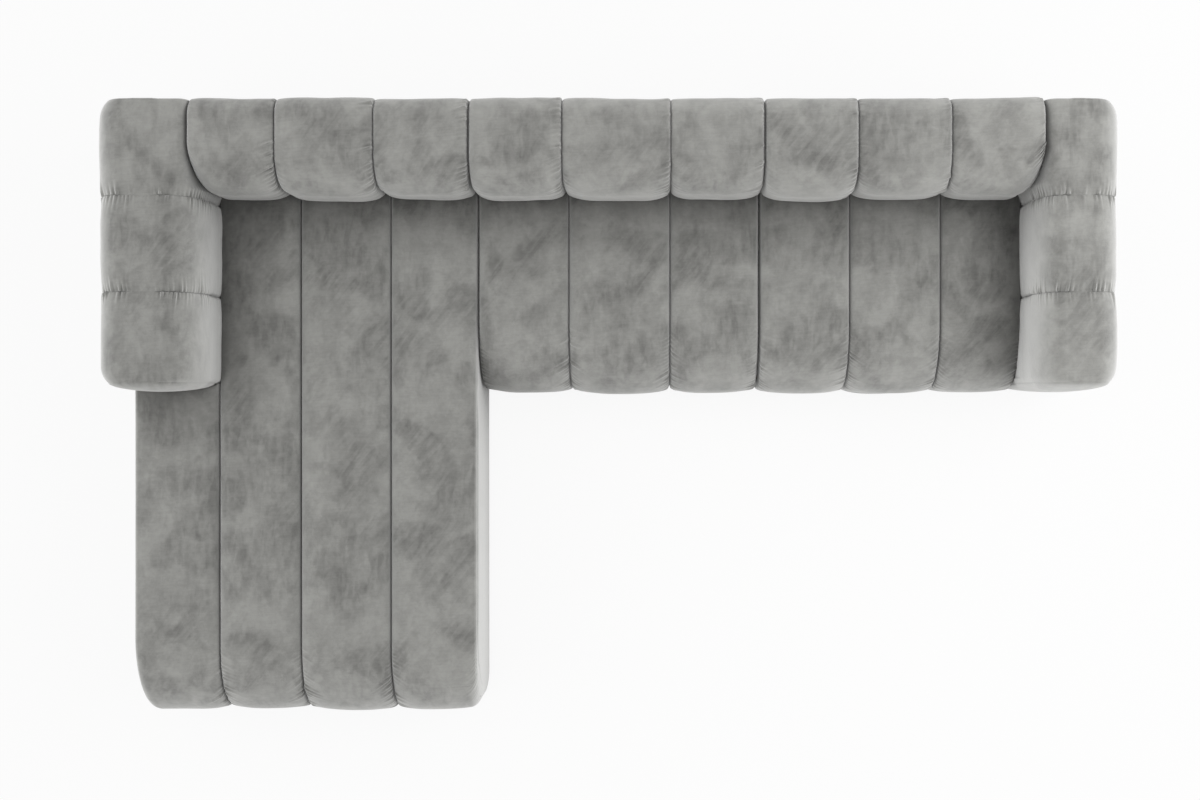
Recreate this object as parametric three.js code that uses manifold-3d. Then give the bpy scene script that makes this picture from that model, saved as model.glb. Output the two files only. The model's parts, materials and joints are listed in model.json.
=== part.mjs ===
// Channel-upholstered corner sofa with a chaise: three modules that hook together side by side.
// Each module is a timber box frame with a spring unit, a felt cover, a channelled seat pad and back pad,
// a dust cover and screw-in feet. The chaise and the end module also carry an arm.
// Millimetres, +Z up, +X to the sitter's left as seen from the front, -Y towards the sitter.
// The origin is on the floor, under the centre of the whole sofa.
import * as THREE from "three";
import { mergeVertices } from "three/addons/utils/BufferGeometryUtils.js";
import Module from "manifold-3d";

const wasm = await Module();
wasm.setup();

// Driving sizes of the whole sofa
const chaiseArmWidth = 293;
const chaiseSeatWidth = 905;
const middleSeatWidth = 954;
const endSeatWidth = 903;
const endArmWidth = 241;
const moduleDepth = 958;
const chaiseDepth = 2066;
const seatHeight = 430;
const backHeight = 720;
const backThickness = 309;
const backRearInset = 6;
const armDepth = 956;
// How far the arm's outer face overhangs the side of the chaise in front of it
const chaiseSideInset = 34;
// The first sewn line of the chaise's seat runs this far inside the foot of the arm
const chaiseSeamInset = 27;

// Widths of the sewn channels of each seat and back, as shares of the width they divide
const chaiseSeatShares = [0.316, 0.348, 0.336];
const chaiseBackShares = [0.312, 0.3515, 0.3365];
const middleSeatShares = [0.323, 0.36, 0.317];
const middleBackShares = [0.315, 0.3685, 0.3165];
const endSeatShares = [0.34, 0.3415, 0.3185];
const endBackShares = [0.333, 0.333, 0.334];
// Places of the two sewn lines across an arm, as shares of its depth from the rear
const armSeamShares = [0.341, 0.665];

// Clearances
const fit = 0.3;
const padGap = 1;
const beyond = 50;

// Upholstery: how far the filling stands proud of the sewn lines
const seatSwellTop = 20;
const seatSwellFront = 26;
const backSwellFront = 37;
const backSwellTop = 18;
const backSwellRear = 5;
const armSwellOuter = 6;
const armSwellTop = 12;
const armSwellInner = 42;
const armBow = 30;

// Upholstery: edge radii and hems
const hemHeight = 46;
const hemRadius = 12;
const seatEdgeReach = 220;
const seatEdgeDrop = 185;
const chaiseOuterCorner = { width: 50, reach: 50 };
const chaiseOpenCorner = { width: 30, reach: 30 };
const backFrontRadius = 96;
const backRearRadius = 58;
// Where the face of the back begins to roll under, as a share of its straight height over the seat
const backTuckShare = 0.33;
const armOuterRadius = 78;
const armInnerRadius = 56;

// Upholstery: padding over the frame
const frontPad = 50;
const rearPad = 24;
const armOuterPad = 50;
const armInnerPad = 35;
const armTopPad = 62;
const backTopPad = 60;

// Timber frame
const boardThickness = 22;
const railHeight = 198;
const joinInset = 6;
const panelInset = 12;
const panelBorder = 64;
const panelWaist = 372;
const panelWindows = 3;
const windowRadius = 30;
const armPanelThickness = 8;
const armCells = 3;
const footBoardWidth = 92;
const footBoardThickness = 20;

// Feet with their studs, and the dust cover
const footHeight = 40;
const footTopRadius = 27;
const footBottomRadius = 21;
const footEdge = 3;
const footInset = 36;
const footSides = 10;
const studRadius = 5;
const studClearance = 1.5;
const studTip = 12;
const holeSegments = 4;
const dustThickness = 1;

// Spring units and the felt over them
const wireRadius = 1.9;
const springSpacing = 200;
const springReach = 24;
const springPitch = 90;
const springRise = 16;
const springLap = 9;
const springStepsPerWave = 5;
const wireSides = 3;
const tieShares = [0.36, 0.68];
const tieRadius = 1.6;
const tieSides = 3;
const feltThickness = 6;
const springRailSetback = 24;

// Hook and catch plates that hold neighbouring modules together
const plateThickness = 2.5;
const plateWidth = 56;
const plateHeight = 74;
const plateJog = 3.2;
const plateLip = 30;
const plateBase = 96;

// Lobe section along a channel: where the rings lie, as shares of the channel's width
const lobeStepShares = [0, 0.06, 0.19, 0.5, 0.81, 0.94];
const bowStepShares = [
  { reachShare: 0.55, sizeShare: 0.93 },
  { reachShare: 0.93, sizeShare: 0.6 },
];
// How boxy a lobe is between its sewn lines: 2 would be an ellipse
const lobeSquareness = 4;
const seatTopSquareness = 6;
const seatFrontSquareness = 3;

// Levels and places that follow from the sizes above
const dustBottom = footHeight + fit;
const frameBottom = dustBottom + dustThickness + fit;
const railTop = frameBottom + railHeight;
const wireAxis = railTop + fit + wireRadius;
const feltBottom = wireAxis + springRise + wireRadius + fit;
const padBottom = feltBottom + feltThickness + fit;
const armFrameTop = backHeight - armTopPad;
const panelTop = backHeight - backTopPad;
const backGroove = backRearInset + backThickness - backSwellFront;
const frameRear = -rearPad;
const armFrameFront = -moduleDepth + frontPad;
const armFrontSeam = -armDepth + armBow;
const sofaWidth = chaiseArmWidth + chaiseSeatWidth + middleSeatWidth + endSeatWidth + endArmWidth;

// Materials
const velvet = new THREE.MeshStandardMaterial({ color: 0x8f8f8c, roughness: 0.9, metalness: 0 });
const timber = new THREE.MeshStandardMaterial({ color: 0xc49a6c, roughness: 0.75, metalness: 0 });
const springSteel = new THREE.MeshStandardMaterial({ color: 0x9aa0a6, roughness: 0.4, metalness: 1 });
const zincPlate = new THREE.MeshStandardMaterial({ color: 0xb8bcc0, roughness: 0.35, metalness: 1 });
const felt = new THREE.MeshStandardMaterial({ color: 0x5c5a57, roughness: 1, metalness: 0 });
const dustCloth = new THREE.MeshStandardMaterial({ color: 0x1c1c1e, roughness: 0.95, metalness: 0 });
const footPlastic = new THREE.MeshStandardMaterial({ color: 0x17171a, roughness: 0.5, metalness: 0 });

// Solids for the boolean cuts
function toSolid(geometry) {
  const bare = geometry.clone();
  bare.deleteAttribute("normal");
  bare.deleteAttribute("uv");
  const merged = mergeVertices(bare);
  return new wasm.Manifold(
    new wasm.Mesh({
      numProp: 3,
      vertProperties: new Float32Array(merged.attributes.position.array),
      triVerts: new Uint32Array(merged.index.array),
    }),
  );
}

function toGeometry(solid) {
  const mesh = solid.getMesh();
  const geometry = new THREE.BufferGeometry();
  geometry.setAttribute("position", new THREE.BufferAttribute(mesh.vertProperties, 3));
  geometry.setIndex(new THREE.BufferAttribute(mesh.triVerts, 1));
  return geometry;
}

function carve(geometry, cutters) {
  let solid = toSolid(geometry);
  for (const cutter of cutters) solid = solid.subtract(toSolid(cutter));
  return toGeometry(solid);
}

// A board or block between two corners
function block([x0, x1], [y0, y1], [z0, z1]) {
  const geometry = new THREE.BoxGeometry(x1 - x0, y1 - y0, z1 - z0);
  geometry.translate((x0 + x1) / 2, (y0 + y1) / 2, (z0 + z1) / 2);
  return geometry;
}

function join(geometries) {
  return toGeometry(geometries.map(toSolid).reduce((whole, solid) => whole.add(solid)));
}

// Upholstery sections. A point is where the cover lies at a sewn line; at a lobe's crown it stands proud by swell.
function straight(from, to, steps, [outU, outV], swell, extra = {}) {
  return Array.from({ length: steps }, (_, i) => {
    const share = i / steps;
    return {
      u: from[0] + (to[0] - from[0]) * share,
      v: from[1] + (to[1] - from[1]) * share,
      outU,
      outV,
      swell,
      ...extra,
    };
  });
}

// Rounds an edge with one radius, or with one across and one up
function rounded([centreU, centreV], radius, fromDegrees, toDegrees, steps, swellFrom, swellTo, extra = {}) {
  const [across, up] = Array.isArray(radius) ? radius : [radius, radius];
  return Array.from({ length: steps + 1 }, (_, i) => {
    const share = i / steps;
    const angle = THREE.MathUtils.degToRad(fromDegrees + (toDegrees - fromDegrees) * share);
    const out = new THREE.Vector2(Math.cos(angle) * up, Math.sin(angle) * across).normalize();
    return {
      u: centreU + across * Math.cos(angle),
      v: centreV + up * Math.sin(angle),
      outU: out.x,
      outV: out.y,
      swell: swellFrom + (swellTo - swellFrom) * share,
      ...extra,
    };
  });
}

// How full the filling is at a share of the way across a lobe: 0 on the sewn lines, 1 at the crown
function lobeFill(share, squareness) {
  return Math.sqrt(1 - Math.abs(2 * share - 1) ** squareness);
}

// Stations of a row of lobes whose sewn lines are at the given places
function lobeStations(seams, perLobe = () => ({})) {
  const stations = [];
  for (let lobe = 0; lobe + 1 < seams.length; lobe++) {
    const width = seams[lobe + 1] - seams[lobe];
    for (const share of lobeStepShares)
      stations.push({ at: seams[lobe] + width * share, share, ...perLobe(lobe) });
  }
  stations.push({ at: seams[seams.length - 1], share: 1, ...perLobe(seams.length - 2) });
  return stations;
}

function ringPoint(point, station) {
  const fill = lobeFill(station.share, point.squareness ?? lobeSquareness);
  const swell = point.besideBack && station.besideBack ? 0 : point.swell * fill;
  const inset = (point.corner ?? 0) * (station.inset ?? 0);
  return [point.u + point.outU * swell + inset, point.v + point.outV * swell];
}

// Skins a counter-clockwise section over its stations. place turns (u, v, at) into a point in space, and the
// stations run the way that u cross v points. A bow closes an end with a pillowed panel; otherwise it is flat.
function skin(section, stations, place, startBow = 0, endBow = 0) {
  const count = section.length;
  const rings = stations.map((station) => section.map((point) => ringPoint(point, station)));
  const ends = [stations[0].at, stations[stations.length - 1].at];
  const forward = Math.sign(ends[1] - ends[0]);
  const points = [];
  rings.forEach((ring, i) => ring.forEach(([u, v]) => points.push(place(u, v, stations[i].at))));
  const faces = [];
  const band = (from, to) => {
    for (let j = 0; j < count; j++) {
      const next = (j + 1) % count;
      faces.push([from + j, from + next, to + next], [from + j, to + next, to + j]);
    }
  };
  for (let i = 0; i + 1 < rings.length; i++) band(i * count, (i + 1) * count);

  const closeEnd = (ring, base, at, bow, isStart) => {
    const add = (...face) => faces.push(isStart ? face.reverse() : face);
    if (bow === 0) {
      const contour = ring.map(([u, v]) => new THREE.Vector2(u, v));
      for (const [a, b, c] of THREE.ShapeUtils.triangulateShape(contour, [])) {
        const turn = (contour[b].x - contour[a].x) * (contour[c].y - contour[a].y)
          - (contour[c].x - contour[a].x) * (contour[b].y - contour[a].y);
        if (turn > 0) add(base + a, base + b, base + c);
        else add(base + a, base + c, base + b);
      }
      return;
    }
    const outward = isStart ? -forward : forward;
    const middle = [0, 1].map((axis) => {
      const values = ring.map((point) => point[axis]);
      return (Math.min(...values) + Math.max(...values)) / 2;
    });
    let last = base;
    for (const { reachShare, sizeShare } of bowStepShares) {
      const first = points.length;
      for (const [u, v] of ring)
        points.push(place(
          middle[0] + (u - middle[0]) * sizeShare,
          middle[1] + (v - middle[1]) * sizeShare,
          at + outward * bow * reachShare,
        ));
      for (let j = 0; j < count; j++) {
        const next = (j + 1) % count;
        add(last + j, last + next, first + next);
        add(last + j, first + next, first + j);
      }
      last = first;
    }
    const tip = points.length;
    points.push(place(middle[0], middle[1], at + outward * bow));
    for (let j = 0; j < count; j++) add(last + j, last + ((j + 1) % count), tip);
  };
  closeEnd(rings[0], 0, ends[0], startBow, true);
  closeEnd(rings[rings.length - 1], (rings.length - 1) * count, ends[1], endBow, false);

  const geometry = new THREE.BufferGeometry();
  geometry.setAttribute("position", new THREE.Float32BufferAttribute(points.flat(), 3));
  geometry.setIndex(faces.flat());
  return geometry;
}

const acrossModule = (u, v, at) => [at, u, v];
const alongArm = (u, v, at) => [u, at, v];

// Section of a seat pad from its front to its rear, hem to crown, as a full block before the frame's room is cut out
function seatSection(front, rear) {
  const top = seatHeight - seatSwellTop;
  const face = front + seatSwellFront;
  const edge = [face + seatEdgeReach, top - seatEdgeDrop];
  const hem = [face + hemRadius, hemHeight + hemRadius];
  const boxy = { squareness: seatTopSquareness };
  const round = { squareness: seatFrontSquareness, corner: 1 };
  return [
    ...straight([rear, hemHeight], [rear, top], 1, [0, 0], 0),
    ...straight([rear, top], [edge[0], top], 3, [0, 1], seatSwellTop, boxy),
    ...rounded(edge, [seatEdgeReach, seatEdgeDrop], 90, 180, 5, seatSwellTop, seatSwellFront, round),
    ...straight([face, edge[1]], [face, hem[1]], 2, [-1, 0], seatSwellFront, round).slice(1),
    ...rounded(hem, hemRadius, 180, 270, 1, seatSwellFront, 0, round),
  ];
}

// Section of a back pad: front face bulging over the seat, round top, rear face down to the hem
function backSection() {
  const front = -backGroove;
  const rear = -backRearInset - backSwellRear;
  const top = backHeight - backSwellTop;
  const frontEdge = [front + backFrontRadius, top - backFrontRadius];
  const rearEdge = [rear - backRearRadius, top - backRearRadius];
  const hem = [rear - hemRadius, hemHeight + hemRadius];
  const tuck = seatHeight + padGap;
  const roll = (frontEdge[1] - tuck) * backTuckShare;
  return [
    ...rounded(hem, hemRadius, 270, 360, 1, 0, backSwellRear),
    ...straight([rear, hem[1]], [rear, rearEdge[1]], 2, [1, 0], backSwellRear).slice(1),
    ...rounded(rearEdge, backRearRadius, 0, 90, 3, backSwellRear, backSwellTop),
    ...rounded(frontEdge, backFrontRadius, 90, 180, 4, backSwellTop, backSwellFront),
    ...straight([front, tuck + roll], [front, tuck], 1, [-1, 0], backSwellFront),
    { u: front, v: tuck + roll / 4, outU: -1, outV: 0, swell: backSwellFront * 0.7 },
    { u: front, v: tuck, outU: 0, outV: 0, swell: 0 },
    { u: front, v: hemHeight, outU: 0, outV: 0, swell: 0 },
  ];
}

// Section of an arm with its outer face at 0 and its inner face at width, counter-clockwise in (x, z)
function armSection(width) {
  const top = backHeight - armSwellTop;
  const outer = armSwellOuter;
  const outerEdge = [outer + armOuterRadius, top - armOuterRadius];
  const innerEdge = [width - armInnerRadius, top - armInnerRadius];
  const hem = [outer + hemRadius, hemHeight + hemRadius];
  const seatLine = seatHeight + padGap;
  const beside = { besideBack: true };
  return [
    { u: width, v: hemHeight, outU: 0, outV: 0, swell: 0 },
    { u: width, v: seatLine, outU: 0, outV: 0, swell: 0 },
    { u: width, v: seatLine + armSwellInner, outU: 1, outV: 0, swell: armSwellInner, ...beside },
    ...rounded(innerEdge, armInnerRadius, 0, 90, 3, armSwellInner, armSwellTop, beside).slice(0, 3),
    ...straight([innerEdge[0], top], [outerEdge[0], top], 2, [0, 1], armSwellTop),
    ...rounded(outerEdge, armOuterRadius, 90, 180, 4, armSwellTop, armSwellOuter),
    ...straight([outer, outerEdge[1]], [outer, hem[1]], 2, [-1, 0], armSwellOuter).slice(1),
    ...rounded(hem, hemRadius, 180, 270, 1, armSwellOuter, 0),
  ];
}

// Sewn lines at shares of a span
function seamPlaces(start, width, shares) {
  const places = [start];
  for (const share of shares) places.push(places[places.length - 1] + width * share);
  places[places.length - 1] = start + width;
  return places;
}

// The long corner of the chaise: stations near an outer side are set back at the front
function insetCorners(stations, place, corner) {
  return stations.map((station) => {
    const run = Math.max(0, 1 - Math.abs(station.at - place) / corner.width);
    return { ...station, inset: corner.reach * (1 - Math.sqrt(1 - run ** 2)) };
  });
}

// A wave spring from the front rail to the rear one: a zigzag of round bends, arched a little upwards
class WaveSpring extends THREE.Curve {
  constructor(x, front, rear, waves) {
    super();
    Object.assign(this, { x, front, rear, waves });
  }

  getPoint(t, target = new THREE.Vector3()) {
    return target.set(
      this.x + springReach * Math.sin(2 * Math.PI * this.waves * t),
      this.front + (this.rear - this.front) * t,
      springLevel(t),
    );
  }
}

function springLevel(t) {
  return wireAxis + springRise * Math.sin(Math.PI * t);
}

function wire(curve, radius, sides, steps) {
  const section = new THREE.Shape(
    Array.from({ length: sides }, (_, i) => {
      const angle = (2 * Math.PI * i) / sides;
      return new THREE.Vector2(radius * Math.cos(angle), radius * Math.sin(angle));
    }),
  );
  return new THREE.ExtrudeGeometry(section, { steps, extrudePath: curve, bevelEnabled: false });
}

// The springs of one bay, with the tie wires that hold them side by side. Their ends lie on the rails.
function springUnit(x, railFront, railRear) {
  const front = railFront - springLap;
  const rear = railRear + springLap;
  const waves = Math.round((rear - front) / springPitch);
  const number = Math.round((x[1] - x[0]) / springSpacing);
  const places = Array.from({ length: number }, (_, i) => x[0] + ((x[1] - x[0]) * (i + 0.5)) / number);
  const springs = places.map((at) =>
    wire(new WaveSpring(at, front, rear, waves), wireRadius, wireSides, waves * springStepsPerWave));
  const ties = tieShares.map((share) => {
    const [y, z] = [front + (rear - front) * share, springLevel(share)];
    const start = new THREE.Vector3(places[0] - springReach - springLap, y, z);
    const end = new THREE.Vector3(places[number - 1] + springReach + springLap, y, z);
    return wire(new THREE.LineCurve3(start, end), tieRadius, tieSides, 1);
  });
  return join([...springs, ...ties]);
}

function rectangle(x, y) {
  return [[x[0], y[0]], [x[1], y[0]], [x[1], y[1]], [x[0], y[1]]].map(([a, b]) => new THREE.Vector2(a, b));
}

// A flat board or cloth with holes for the studs of the feet that lie under it
function drilled(x, y, feet, bottom, thickness) {
  const shape = new THREE.Shape(rectangle(x, y));
  for (const [footX, footY] of feet)
    shape.holes.push(new THREE.Path().absarc(footX, footY, studRadius + studClearance, 0, 2 * Math.PI));
  const curveSegments = holeSegments;
  const geometry = new THREE.ExtrudeGeometry(shape, { depth: thickness, bevelEnabled: false, curveSegments });
  geometry.translate(0, 0, bottom);
  return geometry;
}

// A tapered foot whose stud screws up into its board
function foot(x, y) {
  const tip = frameBottom + footBoardThickness + studTip;
  const profile = [
    [0, 0],
    [footBottomRadius - footEdge, 0],
    [footBottomRadius, footEdge],
    [footTopRadius, footHeight],
    [studRadius, footHeight],
    [studRadius, tip],
    [0, tip],
  ].map(([radius, height]) => new THREE.Vector2(radius, height));
  const geometry = new THREE.LatheGeometry(profile, footSides);
  geometry.rotateX(Math.PI / 2);
  geometry.translate(x, y, 0);
  return geometry;
}

// The plywood panel of the back. It closes the base from side rail to side rail, and above the base it is as
// wide as the seat, with two rows of windows.
function backPanel(base, upper, [front, rear]) {
  const shape = new THREE.Shape([
    [base[0], frameBottom],
    [base[1], frameBottom],
    [base[1], railTop],
    [upper[1], railTop],
    [upper[1], panelTop],
    [upper[0], panelTop],
    [upper[0], railTop],
    [base[0], railTop],
  ].map(([x, z]) => new THREE.Vector2(x, z)));
  const rows = [
    [railTop + panelBorder / 2, panelWaist],
    [panelWaist + panelBorder, panelTop - panelBorder],
  ];
  const pitch = (upper[1] - upper[0] - panelBorder) / panelWindows;
  for (let i = 0; i < panelWindows; i++) {
    const left = upper[0] + panelBorder + pitch * i;
    for (const [low, high] of rows) shape.holes.push(panelWindow(left, left + pitch - panelBorder, low, high));
  }
  const depth = rear - front;
  const geometry = new THREE.ExtrudeGeometry(shape, { depth, bevelEnabled: false, curveSegments: 2 });
  geometry.rotateX(Math.PI / 2);
  geometry.translate(0, rear, 0);
  return geometry;
}

function panelWindow(left, right, low, high) {
  const r = windowRadius;
  return new THREE.Path()
    .absarc(left + r, low + r, r, Math.PI, 1.5 * Math.PI)
    .absarc(right - r, low + r, r, 1.5 * Math.PI, 2 * Math.PI)
    .absarc(right - r, high - r, r, 0, 0.5 * Math.PI)
    .absarc(left + r, high - r, r, 0.5 * Math.PI, Math.PI);
}

// Plates bent in (x, z). The hook's tongue points down into the catch's pocket.
function bentPlate(outline, faceX, toGap, y) {
  const shape = new THREE.Shape(outline.map(([x, z]) => new THREE.Vector2(faceX + toGap * x, plateBase + z)));
  const geometry = new THREE.ExtrudeGeometry(shape, { depth: plateWidth, bevelEnabled: false });
  geometry.rotateX(Math.PI / 2);
  geometry.translate(0, y + plateWidth / 2, 0);
  return geometry;
}

function hookPlate(faceX, toGap, y) {
  const inner = fit + plateThickness;
  const tongue = 2 * joinInset - inner - (plateJog + plateThickness) / 2;
  return bentPlate([
    [fit, 0],
    [inner, 0],
    [inner, plateHeight],
    [tongue, plateHeight],
    [tongue, plateHeight - plateLip],
    [tongue + plateThickness, plateHeight - plateLip],
    [tongue + plateThickness, plateHeight + plateThickness],
    [fit, plateHeight + plateThickness],
  ], faceX, toGap, y);
}

function catchPlate(faceX, toGap, y) {
  const inner = fit + plateThickness;
  const lip = inner + plateJog;
  const pocket = plateHeight - plateLip - plateThickness;
  return bentPlate([
    [fit, pocket - plateThickness],
    [lip + plateThickness, pocket - plateThickness],
    [lip + plateThickness, plateHeight - fit],
    [lip, plateHeight - fit],
    [lip, pocket],
    [inner, pocket],
    [inner, plateHeight],
    [fit, plateHeight],
  ], faceX, toGap, y);
}

const sofa = new THREE.Group();

function makeModule({ name, left, seatWidth, seatShares, backShares, armSide, armWidth, depth }) {
  const module = new THREE.Group();
  module.position.set(left, chaiseDepth / 2, 0);
  const add = (piece, geometry, material) => {
    const mesh = new THREE.Mesh(geometry, material);
    mesh.name = `${name}_${piece}`;
    module.add(mesh);
  };

  // Where the seat, the arm and the frame lie across the module
  const isChaise = depth > moduleDepth;
  const width = seatWidth + armWidth;
  const seat = armSide < 0 ? [armWidth, width] : [0, seatWidth];
  const frameLeft = armSide < 0 ? armOuterPad : joinInset;
  const frameRight = armSide > 0 ? width - armOuterPad : width - joinInset;
  const frameFront = -depth + frontPad;
  const armInnerFace = armSide < 0 ? armWidth - armInnerPad : seatWidth + armInnerPad;

  // Rails of the base frame
  const rails = [frameBottom, railTop];
  const inside = [frameLeft + boardThickness, frameRight - boardThickness];
  const between = [inside[0] + fit, inside[1] - fit];
  const frontRail = [frameFront, frameFront + boardThickness];
  const backPanelY = [frameRear - boardThickness, frameRear];
  add("left_side_rail", block([frameLeft, inside[0]], [frameFront, frameRear], rails), timber);
  add("right_side_rail", block([inside[1], frameRight], [frameFront, frameRear], rails), timber);
  add("front_rail", block(between, frontRail, rails), timber);
  const panelX = [
    armSide < 0 ? seat[0] + panelInset : between[0],
    armSide > 0 ? seat[1] - panelInset : between[1],
  ];
  add("back_panel", backPanel(between, panelX, backPanelY), timber);

  const midRail = [armFrameFront - fit - boardThickness, armFrameFront - fit];
  const bayFront = isChaise ? midRail : frontRail;
  if (isChaise) add("mid_rail", block(between, midRail, rails), timber);

  // Boards across the bottom for the feet, the feet, and the dust cover under it all
  const footX = [inside[0] + footInset, inside[1] - footInset];
  const footY = [frontRail[1] + footInset, backPanelY[0] - footInset];
  const feet = footX.flatMap((x) => footY.map((y) => [x, y]));
  const [frontLeft, rearLeft, frontRight, rearRight] = feet;
  add("front_left_foot", foot(...frontLeft), footPlastic);
  add("front_right_foot", foot(...frontRight), footPlastic);
  add("rear_left_foot", foot(...rearLeft), footPlastic);
  add("rear_right_foot", foot(...rearRight), footPlastic);
  const frontBoard = [frontRail[1] + fit, frontRail[1] + fit + footBoardWidth];
  const rearBoard = [backPanelY[0] - fit - footBoardWidth, backPanelY[0] - fit];
  const boardAt = [frameBottom, footBoardThickness];
  add("front_foot_board", drilled(between, frontBoard, [frontLeft, frontRight], ...boardAt), timber);
  add("rear_foot_board", drilled(between, rearBoard, [rearLeft, rearRight], ...boardAt), timber);
  const underside = [[frameLeft, frameRight], [frameFront, frameRear]];
  add("dust_cover", drilled(...underside, feet, dustBottom, dustThickness), dustCloth);

  // The bearer runs under the arm's inner face, and the spring rail under the face of the back
  let bay = inside;
  if (armSide !== 0) {
    const bearer = armSide < 0
      ? [armInnerFace - boardThickness, armInnerFace]
      : [armInnerFace, armInnerFace + boardThickness];
    const bearerLevel = [frameBottom + footBoardThickness + fit, railTop];
    add("arm_bearer", block(bearer, [bayFront[1] + fit, backPanelY[0] - fit], bearerLevel), timber);
    bay = armSide < 0 ? [bearer[1], inside[1]] : [inside[0], bearer[0]];
  }
  const springRail = [-backGroove - springRailSetback - boardThickness, -backGroove - springRailSetback];
  add("spring_rail", block([bay[0] + fit, bay[1] - fit], springRail, rails), timber);

  // Spring units and felt
  add("spring_unit", springUnit(bay, bayFront[1], springRail[0]), springSteel);
  if (isChaise) add("front_spring_unit", springUnit(inside, frontRail[1], bayFront[0]), springSteel);
  const feltLevel = [feltBottom, feltBottom + feltThickness];
  const feltX = [
    armSide < 0 ? armInnerFace + fit : frameLeft,
    armSide > 0 ? armInnerFace - fit : frameRight,
  ];
  const feltRear = backPanelY[0] - fit;
  const mainFelt = block(feltX, [bayFront[0], feltRear], feltLevel);
  const frontFelt = block([frameLeft, frameRight], [frameFront, bayFront[0] - fit], feltLevel);
  const bridge = block(feltX, [bayFront[0] - boardThickness, bayFront[1]], feltLevel);
  add("spring_cover", isChaise ? join([mainFelt, frontFelt, bridge]) : mainFelt, felt);

  // Seat pad: channels over the springs and down the front, with room for the frame cut out below
  const farLeft = -beyond;
  const farRight = width + beyond;
  const seatRear = -backGroove - fit;
  const seatSpan = [seat[0] + padGap, seat[1] - padGap];
  const firstSeam = seatSpan[0] + (isChaise ? chaiseSeamInset : 0);
  const seams = seamPlaces(firstSeam, seatSpan[1] - firstSeam, seatShares);
  const below = [-beyond, padBottom];
  let seatBlock;
  let seatCuts;
  if (isChaise) {
    const main = insetCorners(lobeStations(seams), seatSpan[1], chaiseOpenCorner);
    const side = insetCorners(lobeStations([chaiseSideInset, firstSeam]), chaiseSideInset, chaiseOuterCorner);
    side.push({ at: firstSeam + padGap, share: 0 });
    const besideArm = [armFrontSeam - frontPad, seatRear];
    seatBlock = join([
      skin(seatSection(-depth, seatRear), main, acrossModule),
      skin(seatSection(-depth, armFrontSeam - fit), side, acrossModule),
      block([seatSpan[0], firstSeam + padGap], besideArm, [hemHeight, seatHeight - seatSwellTop]),
    ]);
    seatCuts = [
      block([frameLeft - fit, frameRight + fit], [frameFront - fit, beyond], below),
      block([frameRight - fit, farRight], [-moduleDepth + frontPad, beyond], below),
    ];
  } else {
    seatBlock = skin(seatSection(-depth, seatRear), lobeStations(seams), acrossModule);
    seatCuts = [block([farLeft, farRight], [frameFront - fit, beyond], below)];
  }
  add("seat_pad", carve(seatBlock, seatCuts), velvet);

  // Back pad, with room for the back frame above the base and only its rear skin behind the base
  const backSeams = seamPlaces(seatSpan[0], seatSpan[1] - seatSpan[0], backShares);
  const backBlock = skin(backSection(), lobeStations(backSeams), acrossModule);
  add("back_pad", carve(backBlock, [
    block([farLeft, farRight], [backPanelY[0] - fit, frameRear + fit], [-beyond, panelTop + fit]),
    block([farLeft, farRight], [-moduleDepth, frameRear + fit], below),
  ]), velvet);
  if (armSide === 0) {
    sofa.add(module);
    return;
  }

  // Arm frame: a glued box of thin side panels, cross boards and a top board, open below
  const armX = armSide < 0 ? [frameLeft, armInnerFace] : [armInnerFace, frameRight];
  const cellX = [armX[0] + armPanelThickness, armX[1] - armPanelThickness];
  const cellZ = [-beyond, armFrameTop - boardThickness];
  const cellPitch = (frameRear - armFrameFront - boardThickness) / armCells;
  const cells = Array.from({ length: armCells }, (_, i) => {
    const cellFront = armFrameFront + boardThickness + cellPitch * i;
    return block(cellX, [cellFront, cellFront + cellPitch - boardThickness], cellZ);
  });
  const armBox = block(armX, [armFrameFront, frameRear], [railTop + fit, armFrameTop]);
  add("arm_frame", carve(armBox, cells), timber);

  // Arm pad: three lobes from rear to front, with bowed end panels
  const armSeams = [-armBow, ...armSeamShares.map((share) => -armDepth * share), armFrontSeam];
  const stations = lobeStations(armSeams, (lobe) => ({ besideBack: lobe === 0 }));
  const section = armSection(armWidth);
  const mirrored = section.map((point) => ({ ...point, u: width - point.u, outU: -point.outU })).reverse();
  const armBlock = skin(armSide < 0 ? section : mirrored, stations, alongArm, armBow, armBow);
  const armRoom = [armX[0] - fit, armX[1] + fit];
  const baseRoom = armSide < 0 ? [frameLeft - fit, farRight] : [farLeft, frameRight + fit];
  const armCuts = [
    block(armRoom, [armFrameFront - fit, frameRear + fit], [-beyond, armFrameTop + fit]),
    block(baseRoom, [isChaise ? -depth : frameFront - fit, frameRear + fit], below),
  ];
  if (isChaise) armCuts.push(block([farLeft, farRight], [-depth, armFrontSeam], [-beyond, seatHeight + padGap]));
  add("arm_pad", carve(armBlock, armCuts), velvet);
  sofa.add(module);
}

const chaiseLeft = -sofaWidth / 2;
const middleLeft = chaiseLeft + chaiseArmWidth + chaiseSeatWidth;
const endLeft = middleLeft + middleSeatWidth;
makeModule({
  name: "chaise",
  left: chaiseLeft,
  seatWidth: chaiseSeatWidth,
  seatShares: chaiseSeatShares,
  backShares: chaiseBackShares,
  armSide: -1,
  armWidth: chaiseArmWidth,
  depth: chaiseDepth,
});
makeModule({
  name: "middle",
  left: middleLeft,
  seatWidth: middleSeatWidth,
  seatShares: middleSeatShares,
  backShares: middleBackShares,
  armSide: 0,
  armWidth: 0,
  depth: moduleDepth,
});
makeModule({
  name: "end",
  left: endLeft,
  seatWidth: endSeatWidth,
  seatShares: endSeatShares,
  backShares: endBackShares,
  armSide: 1,
  armWidth: endArmWidth,
  depth: moduleDepth,
});

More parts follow.
